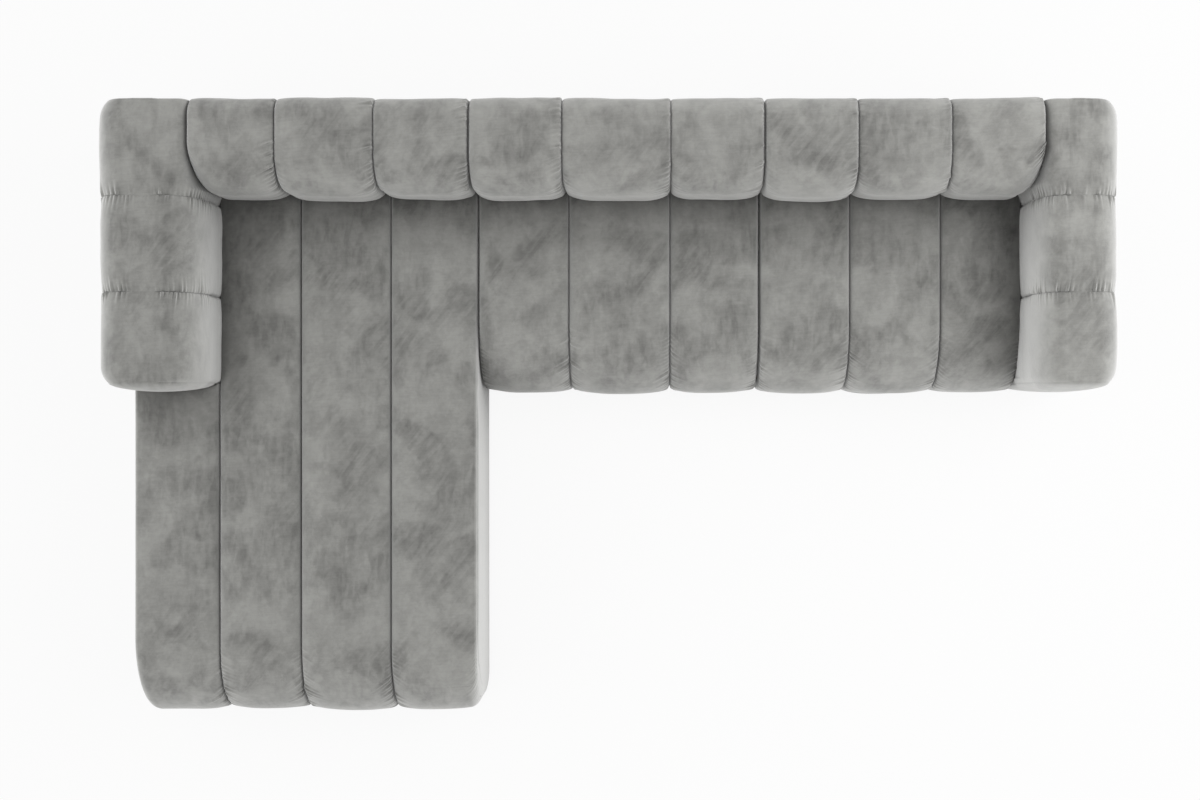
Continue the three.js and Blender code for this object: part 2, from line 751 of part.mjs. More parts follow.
// A hook plate and a catch plate halfway along each side where two modules meet
const plateY = (chaiseDepth - moduleDepth) / 2;
for (const [name, plane] of [["chaise_to_middle", middleLeft], ["middle_to_end", endLeft]]) {
  const hook = new THREE.Mesh(hookPlate(plane - joinInset, 1, plateY), zincPlate);
  hook.name = `${name}_hook`;
  const keeper = new THREE.Mesh(catchPlate(plane + joinInset, -1, plateY), zincPlate);
  keeper.name = `${name}_catch`;
  sofa.add(hook, keeper);
}

export default sofa;
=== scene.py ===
"""Channel-upholstered corner sofa in brushed velvet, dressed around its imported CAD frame."""

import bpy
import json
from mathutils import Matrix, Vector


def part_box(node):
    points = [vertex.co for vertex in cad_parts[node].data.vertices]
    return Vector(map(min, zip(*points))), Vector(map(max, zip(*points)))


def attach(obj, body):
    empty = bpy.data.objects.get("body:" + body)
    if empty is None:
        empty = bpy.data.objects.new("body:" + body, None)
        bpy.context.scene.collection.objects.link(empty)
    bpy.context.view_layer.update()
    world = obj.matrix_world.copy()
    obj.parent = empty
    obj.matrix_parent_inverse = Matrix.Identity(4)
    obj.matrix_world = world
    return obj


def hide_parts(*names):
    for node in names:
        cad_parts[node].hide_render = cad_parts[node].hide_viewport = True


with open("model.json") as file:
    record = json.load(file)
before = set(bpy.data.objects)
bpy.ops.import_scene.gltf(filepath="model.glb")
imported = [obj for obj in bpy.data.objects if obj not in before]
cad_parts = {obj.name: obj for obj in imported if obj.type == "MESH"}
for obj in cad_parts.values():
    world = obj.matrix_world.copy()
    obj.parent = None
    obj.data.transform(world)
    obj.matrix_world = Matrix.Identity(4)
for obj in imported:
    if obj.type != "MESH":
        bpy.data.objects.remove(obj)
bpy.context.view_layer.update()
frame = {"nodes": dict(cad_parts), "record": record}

import json
import math

import bmesh
import bpy
import numpy as np
from bpy.props import FloatProperty, FloatVectorProperty, PointerProperty
from mathutils import Vector

bl_info = {
    "name": "Corner sofa",
    "version": (1, 0, 0),
    "blender": (4, 5, 0),
    "location": "View3D > Sidebar > Sofa",
    "description": "Builds the velvet pads, frame finishes and stage of a channelled corner sofa",
    "category": "Object",
}

# Modules from left to right, with the channels of each as shares of the width they divide
MODULES = {
    "chaise": {"seat": (0.316, 0.348, 0.336), "back": (0.312, 0.3515, 0.3365)},
    "middle": {"seat": (0.323, 0.36, 0.317), "back": (0.315, 0.3685, 0.3165)},
    "end": {"seat": (0.34, 0.3415, 0.3185), "back": (0.333, 0.333, 0.334)},
}
# How far the face of each arm stands in over the module's seat
ARM_FOOT = {"chaise": 0.027, "end": 0.011}
# Places of an arm's two seams between its lobes, as shares of its depth from the rear
ARM_SEAM_SHARES = (0.341, 0.665)
BODY = "root"


# Sizes and colours that a user would change


class SofaUpholstery(bpy.types.PropertyGroup):
    """Fullness of the pads and depth of their sewn lines."""

    seat_swell: FloatProperty(
        name="Seat swell",
        description="How far a seat channel's crown stands above its sewn lines",
        default=0.025, min=0.0, max=0.04, unit="LENGTH",
    )
    front_swell: FloatProperty(
        name="Front swell",
        description="How far a channel bulges on the front of the seat",
        default=0.027, min=0.0, max=0.05, unit="LENGTH",
    )
    back_swell: FloatProperty(
        name="Back swell",
        description="How far a lobe of the back bulges over the seat",
        default=0.037, min=0.0, max=0.06, unit="LENGTH",
    )
    back_top_swell: FloatProperty(
        name="Back top swell",
        description="How far a lobe of the back crowns on top",
        default=0.016, min=0.0, max=0.04, unit="LENGTH",
    )
    arm_swell: FloatProperty(
        name="Arm swell",
        description="How far a lobe of an arm crowns on top",
        default=0.012, min=0.0, max=0.03, unit="LENGTH",
    )
    arm_bow: FloatProperty(
        name="Arm bow",
        description="How far the end panels of an arm bow out",
        default=0.030, min=0.0, max=0.06, unit="LENGTH",
    )
    gather_height: FloatProperty(
        name="Gather height",
        description="Height of the small folds that the thread gathers beside a sewn line",
        default=0.0074, min=0.0, max=0.01, unit="LENGTH",
    )
    gather_reach: FloatProperty(
        name="Gather reach",
        description="How far the small folds run from the sewn line",
        default=0.026, min=0.0, max=0.2, unit="LENGTH",
    )
    seam_pinch: FloatProperty(
        name="Seam pinch",
        description="How deep the thread pulls a sewn line into the filling",
        default=0.006, min=0.0, max=0.02, unit="LENGTH",
    )
    gather_pitch: FloatProperty(
        name="Gather pitch",
        description="Distance between two of the small folds",
        default=0.0140, min=0.008, max=0.04, unit="LENGTH",
    )
    slack: FloatProperty(
        name="Slack",
        description="Height of the broad soft dents in the filling",
        default=0.0016, min=0.0, max=0.01, unit="LENGTH",
    )


class SofaVelvet(bpy.types.PropertyGroup):
    """Colours and nap of the velvet, with its painted sheen and painted hollow shade."""

    light: FloatVectorProperty(
        name="Light nap",
        description="Colour where the pile lies towards the light",
        default=(0.392, 0.391, 0.372), min=0.0, max=1.0, size=3, subtype="COLOR",
    )
    dark: FloatVectorProperty(
        name="Dark nap",
        description="Colour where the pile has been brushed the other way",
        default=(0.168, 0.167, 0.159), min=0.0, max=1.0, size=3, subtype="COLOR",
    )
    # Painted sheen: this pale colour is mixed into the base colour where the velvet turns away from the view
    rim: FloatVectorProperty(
        name="Rim",
        description="Colour where the velvet turns away and its pile is seen from the side",
        default=(0.860, 0.860, 0.848), min=0.0, max=1.0, size=3, subtype="COLOR",
    )
    # Painted shade: how much ambient occlusion darkens the base colour in hollows
    hollow_shade: FloatProperty(
        name="Hollow",
        description="How much darker the pile is in hollows, where it stands open",
        default=0.95, min=0.0, max=2.0,
    )
    patch_size: FloatProperty(
        name="Patch size",
        description="Width of the brushed patches",
        default=0.16, min=0.02, max=1.0, unit="LENGTH",
    )
    sheen: FloatProperty(
        name="Sheen",
        description="Strength of the pale rim where the velvet turns away",
        default=0.5, min=0.0, max=1.0, subtype="FACTOR",
    )


class SofaStage(bpy.types.PropertyGroup):
    """Camera and lights."""

    camera_height: FloatProperty(
        name="Camera height",
        description="Height of the camera above the floor",
        default=5.727, min=1.0, max=20.0, unit="LENGTH",
    )
    sky: FloatProperty(
        name="Sky strength",
        description="Strength of the even light from all sides",
        default=1.0, min=0.0, max=2.0,
    )
    key: FloatProperty(
        name="Key light",
        description="Power of the large soft light at the right, in watts",
        default=55.0, min=0.0, max=5000.0,
    )


# Outlines across a pad


class Outline:
    """A closed outline across a pad. Each point lies on a sewn line and swells out along its normal."""

    def __init__(self):
        self.rows = []

    def point(self, place, normal=(0.0, 0.0), swell=0.0, square=4.0, gather=0.0, bulge=1.0, welt=0.0, role=0):
        """One point, with what a lobe does there.

        swell is how far its crown stands out, square how flat the crown is, gather how strong the folds
        beside a sewn line are, bulge how full the lobe at the pad's end is, and welt the height of a raised
        seam. role numbers the corners of the frame's room, and is 0 on the cover.
        """
        self.rows.append((*place, *normal, swell, square, gather, bulge, welt, role))

    def line(self, start, end, spacing, normal=(0.0, 0.0), **feel):
        """Points from start to end, without the end."""
        start, end = np.array(start), np.array(end)
        count = max(1, round(float(np.linalg.norm(end - start)) / spacing))
        for i in range(count):
            share = i / count
            self.point(start + (end - start) * share, normal, **blended(feel, share))

    def arc(self, centre, radius, start_deg, end_deg, spacing, **feel):
        """Points round an arc, with its end. radius is one value, or one across and one up."""
        wide, tall = radius if isinstance(radius, tuple) else (radius, radius)
        sweep = math.radians(end_deg - start_deg)
        count = max(2, round(abs(sweep) * max(wide, tall) / spacing))
        for i in range(count + 1):
            share = i / count
            angle = math.radians(start_deg) + sweep * share
            normal = np.array([math.cos(angle) * tall, math.sin(angle) * wide])
            place = (centre[0] + wide * math.cos(angle), centre[1] + tall * math.sin(angle))
            self.point(place, normal / np.linalg.norm(normal), **blended(feel, share))

    def room(self, *places):
        """Corners of the room for the frame, numbered from 1."""
        for role, place in enumerate(places, 1):
            self.point(place, role=role)

    def table(self):
        """Columns of the outline, and how far along it each point lies."""
        rows = np.array(self.rows)
        steps = np.linalg.norm(np.diff(rows[:, :2], axis=0), axis=1)
        along = np.concatenate([[0.0], np.cumsum(steps)])
        names = ("u", "v", "nu", "nv", "swell", "square", "gather", "bulge", "welt", "role")
        return {"along": along, **{name: rows[:, i] for i, name in enumerate(names)}}


def blended(feel, share):
    """Each value of feel, or the value at a share of the way where it is a (start, end) pair."""
    return {
        key: value[0] + (value[1] - value[0]) * share if isinstance(value, tuple) else value
        for key, value in feel.items()
    }


# Spacing of an outline's points on its edges, on its small turns and along its plain faces
FINE, MEDIUM, PLAIN = 0.0025, 0.0065, 0.010
# Room between a pad and the frame in it, and between two pads that touch
FIT = 0.0003
PAD_GAP = 0.001
HEM_RADIUS = 0.012
# Radii of the seat's front edge, across and up, the angle where its top becomes its front, and where its top
# starts to gather
SEAT_EDGE = (0.220, 0.185)
SEAT_TURN = 128
SEAT_LEAD = 0.06
BACK_FRONT_RADIUS = 0.096
BACK_REAR_RADIUS = 0.058
BACK_ROLL = 0.058
BACK_ROLL_STEPS = 9
BACK_REAR_SWELL = 0.005
# How flat the crown of a back lobe is on its front
BACK_SQUARE = 3.8
ARM_OUTER_RADIUS = 0.078
ARM_INNER_RADII = {"chaise": (0.105, 0.165), "end": (0.075, 0.150)}
# Radii of the inner edge where the arm fills the round corner of the back
ARM_REAR_RADII = (0.040, 0.050)
ARM_REAR_BOW = 0.018
# Rounds in plan: width and reach of the chaise's two front corners, the radius of the back beside an arm, and
# how far behind each round is gone
CHAISE_CORNERS = ((0.045, 0.062), (0.038, 0.054))
CHAISE_CORNER_FADE = 0.4
BACK_CORNER_RADIUS = 0.090
BACK_CORNER_FADE = 0.2
# How an arm's cover turns towards its end panels: where it starts to, and the radius
ARM_OUTER_CORNER = (0.050, 0.085)
ARM_INNER_CORNER = (0.012, 0.020)
ARM_TOP_CORNER = (0.012, 0.020)


def seat_outline(low, high, rear, room, feel):
    """Outline of a seat pad in (y, z), with room for the frame behind and below the corner at room."""
    top = high.z - feel.seat_swell
    face = low.y + feel.front_swell
    edge = (face + SEAT_EDGE[0], top - SEAT_EDGE[1])
    hem = (face + HEM_RADIUS, low.z + HEM_RADIUS)
    outline = Outline()
    outline.room((room[0], low.z), room, (rear, room[1]))
    up = {"normal": (0.0, 1.0), "swell": feel.seat_swell}
    outline.line((rear, top), (edge[0] + SEAT_LEAD, top), PLAIN, square=4.0, gather=0.0, **up)
    outline.line(
        (edge[0] + SEAT_LEAD, top), (edge[0], top), MEDIUM,
        square=(4.0, 3.8), gather=(0.0, 0.3), **up,
    )
    mild = (feel.seat_swell + feel.front_swell) / 2
    outline.arc(
        edge, SEAT_EDGE, 90, SEAT_TURN, FINE,
        swell=(feel.seat_swell, mild), square=(3.8, 3.2), gather=(0.3, 1.4),
    )
    outline.arc(
        edge, SEAT_EDGE, SEAT_TURN + 1, 180, FINE,
        swell=(mild, feel.front_swell), square=(3.2, 2.6), gather=(1.4, 0.7),
    )
    out = {"normal": (-1.0, 0.0), "swell": feel.front_swell, "square": 2.6}
    outline.line((face, edge[1] - MEDIUM), (face, hem[1]), PLAIN, gather=(0.6, 0.3), **out)
    outline.arc(
        hem, HEM_RADIUS, 180, 270, MEDIUM,
        swell=(feel.front_swell, 0.0), square=2.6, gather=(0.3, 0.0),
    )
    return outline.table()


def back_outline(low, high, seat_top, slot, floor, feel):
    """Outline of a back pad in (y, z), with a slot for the back panel and nothing under floor before it."""
    front = low.y + feel.back_swell
    rear = high.y - BACK_REAR_SWELL
    top = high.z - feel.back_top_swell
    front_edge = (front + BACK_FRONT_RADIUS, top - BACK_FRONT_RADIUS)
    rear_edge = (rear - BACK_REAR_RADIUS, top - BACK_REAR_RADIUS)
    hem = (rear - HEM_RADIUS, low.z + HEM_RADIUS)
    tuck = seat_top + PAD_GAP
    outline = Outline()
    outline.arc(hem, HEM_RADIUS, 270, 360, MEDIUM, swell=(0.0, BACK_REAR_SWELL))
    outline.line(
        (rear, hem[1] + MEDIUM), (rear, rear_edge[1]), PLAIN,
        normal=(1.0, 0.0), swell=BACK_REAR_SWELL, square=6.0, gather=(0.2, 0.5),
    )
    outline.arc(
        rear_edge, BACK_REAR_RADIUS, 0, 90, FINE,
        swell=(BACK_REAR_SWELL, feel.back_top_swell), square=(5.0, 4.0), gather=(0.5, 1.0),
    )
    middle = ((rear_edge[0] + front_edge[0]) / 2, top)
    flat = {"normal": (0.0, 1.0), "swell": feel.back_top_swell, "square": 4.0}
    outline.line((rear_edge[0] - FINE, top), middle, FINE, gather=(1.0, 0.25), **flat)
    outline.line(middle, (front_edge[0], top), FINE, gather=(0.25, 1.1), **flat)
    outline.arc(
        front_edge, BACK_FRONT_RADIUS, 90, 180, FINE,
        swell=(feel.back_top_swell, feel.back_swell), square=(4.0, 3.4), gather=(1.1, 1.3),
    )
    out = {"normal": (-1.0, 0.0), "square": BACK_SQUARE}
    outline.line(
        (front, front_edge[1] - FINE), (front, tuck + BACK_ROLL), MEDIUM,
        swell=feel.back_swell, gather=(1.0, 0.5), **out,
    )
    for i in range(BACK_ROLL_STEPS + 1):
        # The foot of the lobe rolls under towards the seat
        share = i / BACK_ROLL_STEPS
        turn = math.radians(90 * i / BACK_ROLL_STEPS)
        place = (front, tuck + BACK_ROLL * (1 - math.sin(turn)))
        outline.point(
            place, swell=feel.back_swell * math.cos(turn) ** 0.6, gather=0.5 * (1 - share), **out,
        )
    outline.room(
        (front, floor), (slot[0].y, floor), (slot[0].y, slot[1].z), (slot[1].y, slot[1].z),
        (slot[1].y, low.z),
    )
    return outline.table()


def arm_outline(width, top_z, hem_z, seat_top, room, floor, inner_radii, feel):
    """Outline of an arm pad in (x, z), with its outer face at 0 and its inner face at width.

    room holds the frame's left and right side and its top, and floor is the height of the felt beside it.
    """
    outer_swell, inner_swell, flat_swell, foot_swell = 0.009, 0.014, 0.005, 0.012
    welt, mild_welt, faint_welt = 0.0034, 0.0016, 0.0008
    top = top_z - feel.arm_swell
    outer_edge = (outer_swell + ARM_OUTER_RADIUS, top - ARM_OUTER_RADIUS)
    inner_edge = (width - inner_radii[0], top - inner_radii[1])
    hem = (outer_swell + HEM_RADIUS, hem_z + HEM_RADIUS)
    seat_line = seat_top + PAD_GAP
    left, right, frame_top = room
    outline = Outline()
    outline.room((left, hem_z), (left, frame_top), (right, frame_top), (right, floor), (width, floor))
    inward = {"normal": (1.0, 0.0), "bulge": 0.0, "square": 4.5}
    near = (width, seat_line + 0.03)
    outline.line((width, seat_line), near, FINE, swell=(foot_swell, inner_swell), gather=(0.0, 0.2), **inward)
    outline.line(near, (width, inner_edge[1]), MEDIUM, swell=inner_swell, gather=(0.2, 0.5), **inward)
    outline.arc(
        inner_edge, inner_radii, 0, 90, FINE,
        swell=(inner_swell, feel.arm_swell), square=(4.0, 3.2), gather=(0.5, 1.4), bulge=(0.0, 0.6),
        welt=(faint_welt, mild_welt),
    )
    # Between its edges the top is all but flat
    inner_flat, outer_flat = inner_edge[0] - 0.020, outer_edge[0] + 0.040
    level = top_z - flat_swell
    flat = {"normal": (0.0, 1.0), "square": 3.2}
    outline.line(
        (inner_edge[0] - FINE, top), (inner_flat, level), FINE,
        swell=(feel.arm_swell, flat_swell), gather=(1.4, 0.2), bulge=(0.6, 0.7), welt=(mild_welt, welt),
        **flat,
    )
    outline.line(
        (inner_flat, level), (outer_flat, level), FINE,
        swell=flat_swell, gather=0.2, bulge=(0.7, 0.9), welt=welt, **flat,
    )
    outline.line(
        (outer_flat, level), (outer_edge[0], top), FINE,
        swell=(flat_swell, feel.arm_swell), gather=(0.2, 1.3), bulge=(0.9, 1.0), welt=welt, **flat,
    )
    outline.arc(
        outer_edge, ARM_OUTER_RADIUS, 90, 180, FINE,
        swell=(feel.arm_swell, outer_swell), square=(3.2, 3.4), gather=(1.3, 0.6), welt=(welt, faint_welt),
    )
    outline.line(
        (outer_swell, outer_edge[1] - FINE), (outer_swell, hem[1]), PLAIN,
        normal=(-1.0, 0.0), swell=outer_swell, square=3.4, gather=(0.6, 0.3),
    )
    outline.arc(hem, HEM_RADIUS, 180, 270, MEDIUM, swell=(outer_swell, 0.0))
    return outline.table()


# Lofting a pad


def seams_between(start, end, shares):
    """Places of the sewn lines from start to end."""
    return np.concatenate([[start], start + (end - start) * np.cumsum(shares)[:-1], [end]])


# Stations across a lobe: the first ones beside a sewn line, how far the close ones go, their spacing, and the
# spacing over the crown
SEAM_STATIONS = (0.0, 0.0012, 0.003, 0.0055)
SEAM_BAND = 0.075
SEAM_SPACING = 0.0045
CROWN_SPACING = 0.011


def lobe_steps(width):
    """Shares across a lobe, closer together beside the sewn lines."""
    beside = min(SEAM_BAND, width * 0.4)
    side = np.concatenate([SEAM_STATIONS, np.arange(2 * SEAM_SPACING, beside, SEAM_SPACING)])
    middle = np.linspace(beside, width - beside, max(3, round((width - 2 * beside) / CROWN_SPACING)))
    return np.concatenate([side, middle, (width - side)[::-1][:-1]]) / width


def stations_of(seams, extra=()):
    """Stations along a row of lobes: place, share across the lobe, lobe number and lobe width."""
    rows = []
    for lobe, (start, end) in enumerate(zip(seams[:-1], seams[1:])):
        shares = list(lobe_steps(abs(end - start)))
        places = ((place - start) / (end - start) for place in extra)
        shares += [share for share in places if 0 < share < 1]
        rows += [(start + (end - start) * share, share, lobe, abs(end - start)) for share in sorted(shares)]
    rows.append((seams[-1], 1.0, len(seams) - 2, abs(seams[-1] - seams[-2])))
    return np.array(rows)


def ridges(random, along, away, feel, lean):
    """Small folds that the thread gathers along one side of a sewn line, as a height over the cover."""
    count = 500
    # Many folds are low or missing, and a few are tall
    tall = np.clip(random.normal(0.42, 0.45, count), 0.0, 1.3)
    reach = feel.gather_reach * random.uniform(0.5, 1.4, count)
    # Their pitch and slant wander along the seam
    turns = random.uniform(0, 2 * math.pi, 3)
    wander = 0.35 * np.sin(along / 0.041 + turns[0]) + 0.6 * np.sin(along / 0.12 + turns[1])
    slant = lean * (1 + 0.35 * np.sin(along / 0.06 + turns[2]))
    phase = (along - slant * away) / feel.gather_pitch + wander + 50
    number = np.floor(phase).astype(int) % count
    crest = np.sin(math.pi * (phase - np.floor(phase))) ** 1.4
    fade = np.exp(-((away / reach[number]) ** 1.6)) * np.clip(away / 0.003, 0, 1)
    return feel.gather_height * tall[number] * crest * fade


def swells(random, points, size, waves=16):
    """A smooth random field of about unit height, from plane waves about size long."""
    total = np.zeros(points.shape[:-1])
    for _ in range(waves):
        direction = random.normal(size=3)
        direction /= np.linalg.norm(direction)
        length = size * random.uniform(0.7, 1.6)
        total += np.sin(points @ direction * (2 * math.pi / length) + random.uniform(0, 2 * math.pi))
    return total / math.sqrt(waves)


# How unlike each other the lobes are, and the sizes of the filling's dents with the share of the small ones
LOBE_VARIETY = 0.09
DENT, SMALL_DENT, SMALL_DENT_SHARE = 0.34, 0.12, 0.45
# Widths of the pinch and of the welt at a sewn line, and the swell at which the pinch is whole
PINCH_WIDTH = 0.0042
WELT_WIDTH = 0.0026
PINCH_SWELL = 0.015


def pad_surface(
    seed, outline, seams, place, feel, sides=(0.9, 1.0), lean=0.5, extra=(), trim=None, shape=None,
    flat_lobe=None, ends=(1.0, 1.0), gap=1.0,
):
    """Grid of points of a lobed pad, one ring of the outline for each station.

    sides are the strengths of the gathers along the first and the last edge of a lobe, and ends are their
    shares at the two ends of the pad. lean is how much the gathers slant, and gap how much deeper the pad is
    pinched at its ends than at a sewn line. extra are further stations, and flat_lobe is the lobe that
    follows the outline's bulge. trim changes how full the lobes are, and shape moves the finished points
    across the pad.
    """
    random = np.random.default_rng(seed)
    stations = stations_of(seams, extra)
    at, share, lobe, width = (column[:, None] for column in stations.T)
    row = {key: value[None, :] for key, value in outline.items()}
    fill = np.sqrt(np.clip(1 - np.abs(2 * share - 1) ** row["square"], 0, 1))
    if flat_lobe is not None:
        fill = fill * np.where(lobe == flat_lobe, row["bulge"], 1.0)
    if trim is not None:
        fill = trim(fill, at, row)
    soft = row["swell"] > 0
    lift = row["swell"] * fill * (1 + LOBE_VARIETY * np.sin(lobe * 2.3 + seed))
    base = place(*np.broadcast_arrays(row["u"], row["v"], at))
    dents = swells(random, base, DENT) + SMALL_DENT_SHARE * swells(random, base, SMALL_DENT)
    slack = feel.slack * dents
    lift = lift + soft * slack * np.clip(fill, 0, 1)
    for number in range(len(seams) - 1):
        chosen = stations[:, 2] == number
        for side, strength in enumerate(sides):
            if number + side in (0, len(seams) - 1):
                strength = strength * ends[side]
            away = np.abs(stations[chosen, 0] - seams[number + side])[:, None]
            height = ridges(random, row["along"], away, feel, lean)
            lift[chosen] += height * row["gather"] * strength
    pinch = feel.seam_pinch * np.clip(row["swell"] / PINCH_SWELL, 0, 1) * (row["welt"] == 0)
    for number, seam in enumerate(seams):
        deep = gap if number in (0, len(seams) - 1) else 1.0
        lift = lift - deep * pinch * np.exp(-(((at - seam) / PINCH_WIDTH) ** 2))
        lift = lift + row["welt"] * np.exp(-(((at - seam) / WELT_WIDTH) ** 2))
    u = row["u"] + row["nu"] * lift
    v = row["v"] + row["nv"] * lift
    if shape is not None:
        u, v = shape(u, v, at, row)
    return place(*np.broadcast_arrays(u, v, at))


def across(u, v, at):
    """Point of a pad whose outline is in (y, z) and whose lobes lie side by side along x."""
    return np.stack([at, u, v], axis=-1)


BOW_RINGS = 20
# How flat a pillowed panel is in its middle: lower is rounder
FLAT_PILLOW, ROUND_PILLOW = 4.4, 1.8


def bow_rings(ring, axis, reach, middle=None, pillow=FLAT_PILLOW):
    """Rings that close an end of a pad with a pillowed panel, from its edge inwards, and its middle point.

    axis is the axis that the panel faces along, and reach how far it bulges, one value or one for each point.
    """
    if middle is None:
        middle = (ring.min(axis=0) + ring.max(axis=0)) / 2
        middle[axis] = ring[:, axis].min() if np.mean(reach) < 0 else ring[:, axis].max()
    result = []
    for i in range(1, BOW_RINGS):
        size = 1 - (i / BOW_RINGS) ** 2
        points = middle + (ring - middle) * size
        points[:, axis] += reach * math.sqrt(1 - size ** pillow)
        result.append(points)
    tip = np.array(middle, dtype=float)
    tip[axis] += np.mean(reach)
    return result, tip


def loft_mesh(name, grid, first=None, last=None):
    """A closed mesh over a grid of rings. first and last are bow rings for its ends, which else are flat."""
    rings = list(grid)
    if first:
        rings = first[0][::-1] + rings
    if last:
        rings = rings + last[0]
    points = np.concatenate(rings)
    count, size = len(rings), len(rings[0])
    i, j = np.meshgrid(np.arange(count - 1), np.arange(size), indexing="ij")
    after = (j + 1) % size
    corners = [i * size + j, i * size + after, (i + 1) * size + after, (i + 1) * size + j]
    faces = np.stack(corners, axis=-1).reshape(-1, 4).tolist()
    for bow, start in ((first, 0), (last, (count - 1) * size)):
        ring = list(range(start, start + size))
        if bow is None:
            faces.append(ring if start else ring[::-1])
            continue
        points = np.concatenate([points, bow[1][None]])
        tip = len(points) - 1
        faces += [[a, b, tip] for a, b in zip(ring, ring[1:] + ring[:1])]
    mesh = bpy.data.meshes.new(name)
    mesh.from_pydata(points.tolist(), [], faces)
    tidy(mesh)
    return mesh


SHARP_ANGLE = math.radians(70)


def tidy(mesh):
    """Turns all faces outwards and shades them smooth, with the cut edges sharp."""
    work = bmesh.new()
    work.from_mesh(mesh)
    bmesh.ops.recalc_face_normals(work, faces=work.faces)
    work.to_mesh(mesh)
    work.free()
    mesh.shade_smooth()
    mesh.set_sharp_from_angle(angle=SHARP_ANGLE)
    mesh.update()


def joined(mesh, other):
    """Adds the other mesh's faces to mesh."""
    work = bmesh.new()
    work.from_mesh(mesh)
    work.from_mesh(other)
    work.to_mesh(mesh)
    work.free()
    bpy.data.meshes.remove(other)
    return mesh


def corner_depth(distance, radius, run=None):
    """How far a rounded corner lies behind the face at a distance from the side.

    The round starts at run from the side, or at radius.
    """
    run = radius if run is None else run
    inside = np.clip(run - distance, 0, run)
    return radius - np.sqrt(radius ** 2 - inside ** 2)


def smooth(value):
    """A soft step from 0 to 1."""
    value = np.clip(value, 0, 1)
    return value * value * (3 - 2 * value)


def added(name, data):
    """A new object in the scene."""
    thing = bpy.data.objects.new(name, data)
    bpy.context.scene.collection.objects.link(thing)
    return thing


def add_piece(name, mesh, material):
    """Puts a mesh in the scene on the sofa's body."""
    piece = added(name, mesh)
    mesh.materials.append(material)
    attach(piece, BODY)
    return piece


# Materials


def node_group(name, inputs, outputs):
    """An empty shader group with its sockets, and its end nodes."""
    group = bpy.data.node_groups.new(name, "ShaderNodeTree")
    for label, kind, default in inputs:
        socket = group.interface.new_socket(label, in_out="INPUT", socket_type=kind)
        socket.default_value = default
    for label, kind in outputs:
        group.interface.new_socket(label, in_out="OUTPUT", socket_type=kind)
    return group, group.nodes.new("NodeGroupInput"), group.nodes.new("NodeGroupOutput")


def set_inputs(tree, node, inputs):
    """Links a node's inputs to sockets, or gives them values."""
    for key, value in inputs.items():
        if isinstance(value, bpy.types.NodeSocket):
            tree.links.new(value, node.inputs[key])
        else:
            node.inputs[key].default_value = value


def add_node(tree, kind, inputs, **settings):
    """A node with its settings and its inputs."""
    node = tree.nodes.new(kind)
    for key, value in settings.items():
        setattr(node, key, value)
    set_inputs(tree, node, inputs)
    return node


def worked(tree, operation, *values):
    """The result of a Math node."""
    return add_node(tree, "ShaderNodeMath", dict(enumerate(values)), operation=operation).outputs[0]


def ranged(tree, value, inputs, **settings):
    """A value brought to another range."""
    return add_node(tree, "ShaderNodeMapRange", {"Value": value, **inputs}, **settings).outputs["Result"]


def blend(tree, share, first, second, **settings):
    """A colour between two others, or worked out from them."""
    inputs = {"Factor": share, 6: first, 7: second}
    return add_node(tree, "ShaderNodeMix", inputs, data_type="RGBA", **settings).outputs[2]


def place_of(tree, output="Object"):
    """Where on the surface the material is, or another of the surface's coordinates."""
    return add_node(tree, "ShaderNodeTexCoord", {}).outputs[output]


SURFACE = [("Color", "NodeSocketColor"), ("Roughness", "NodeSocketFloat"), ("Height", "NodeSocketFloat")]


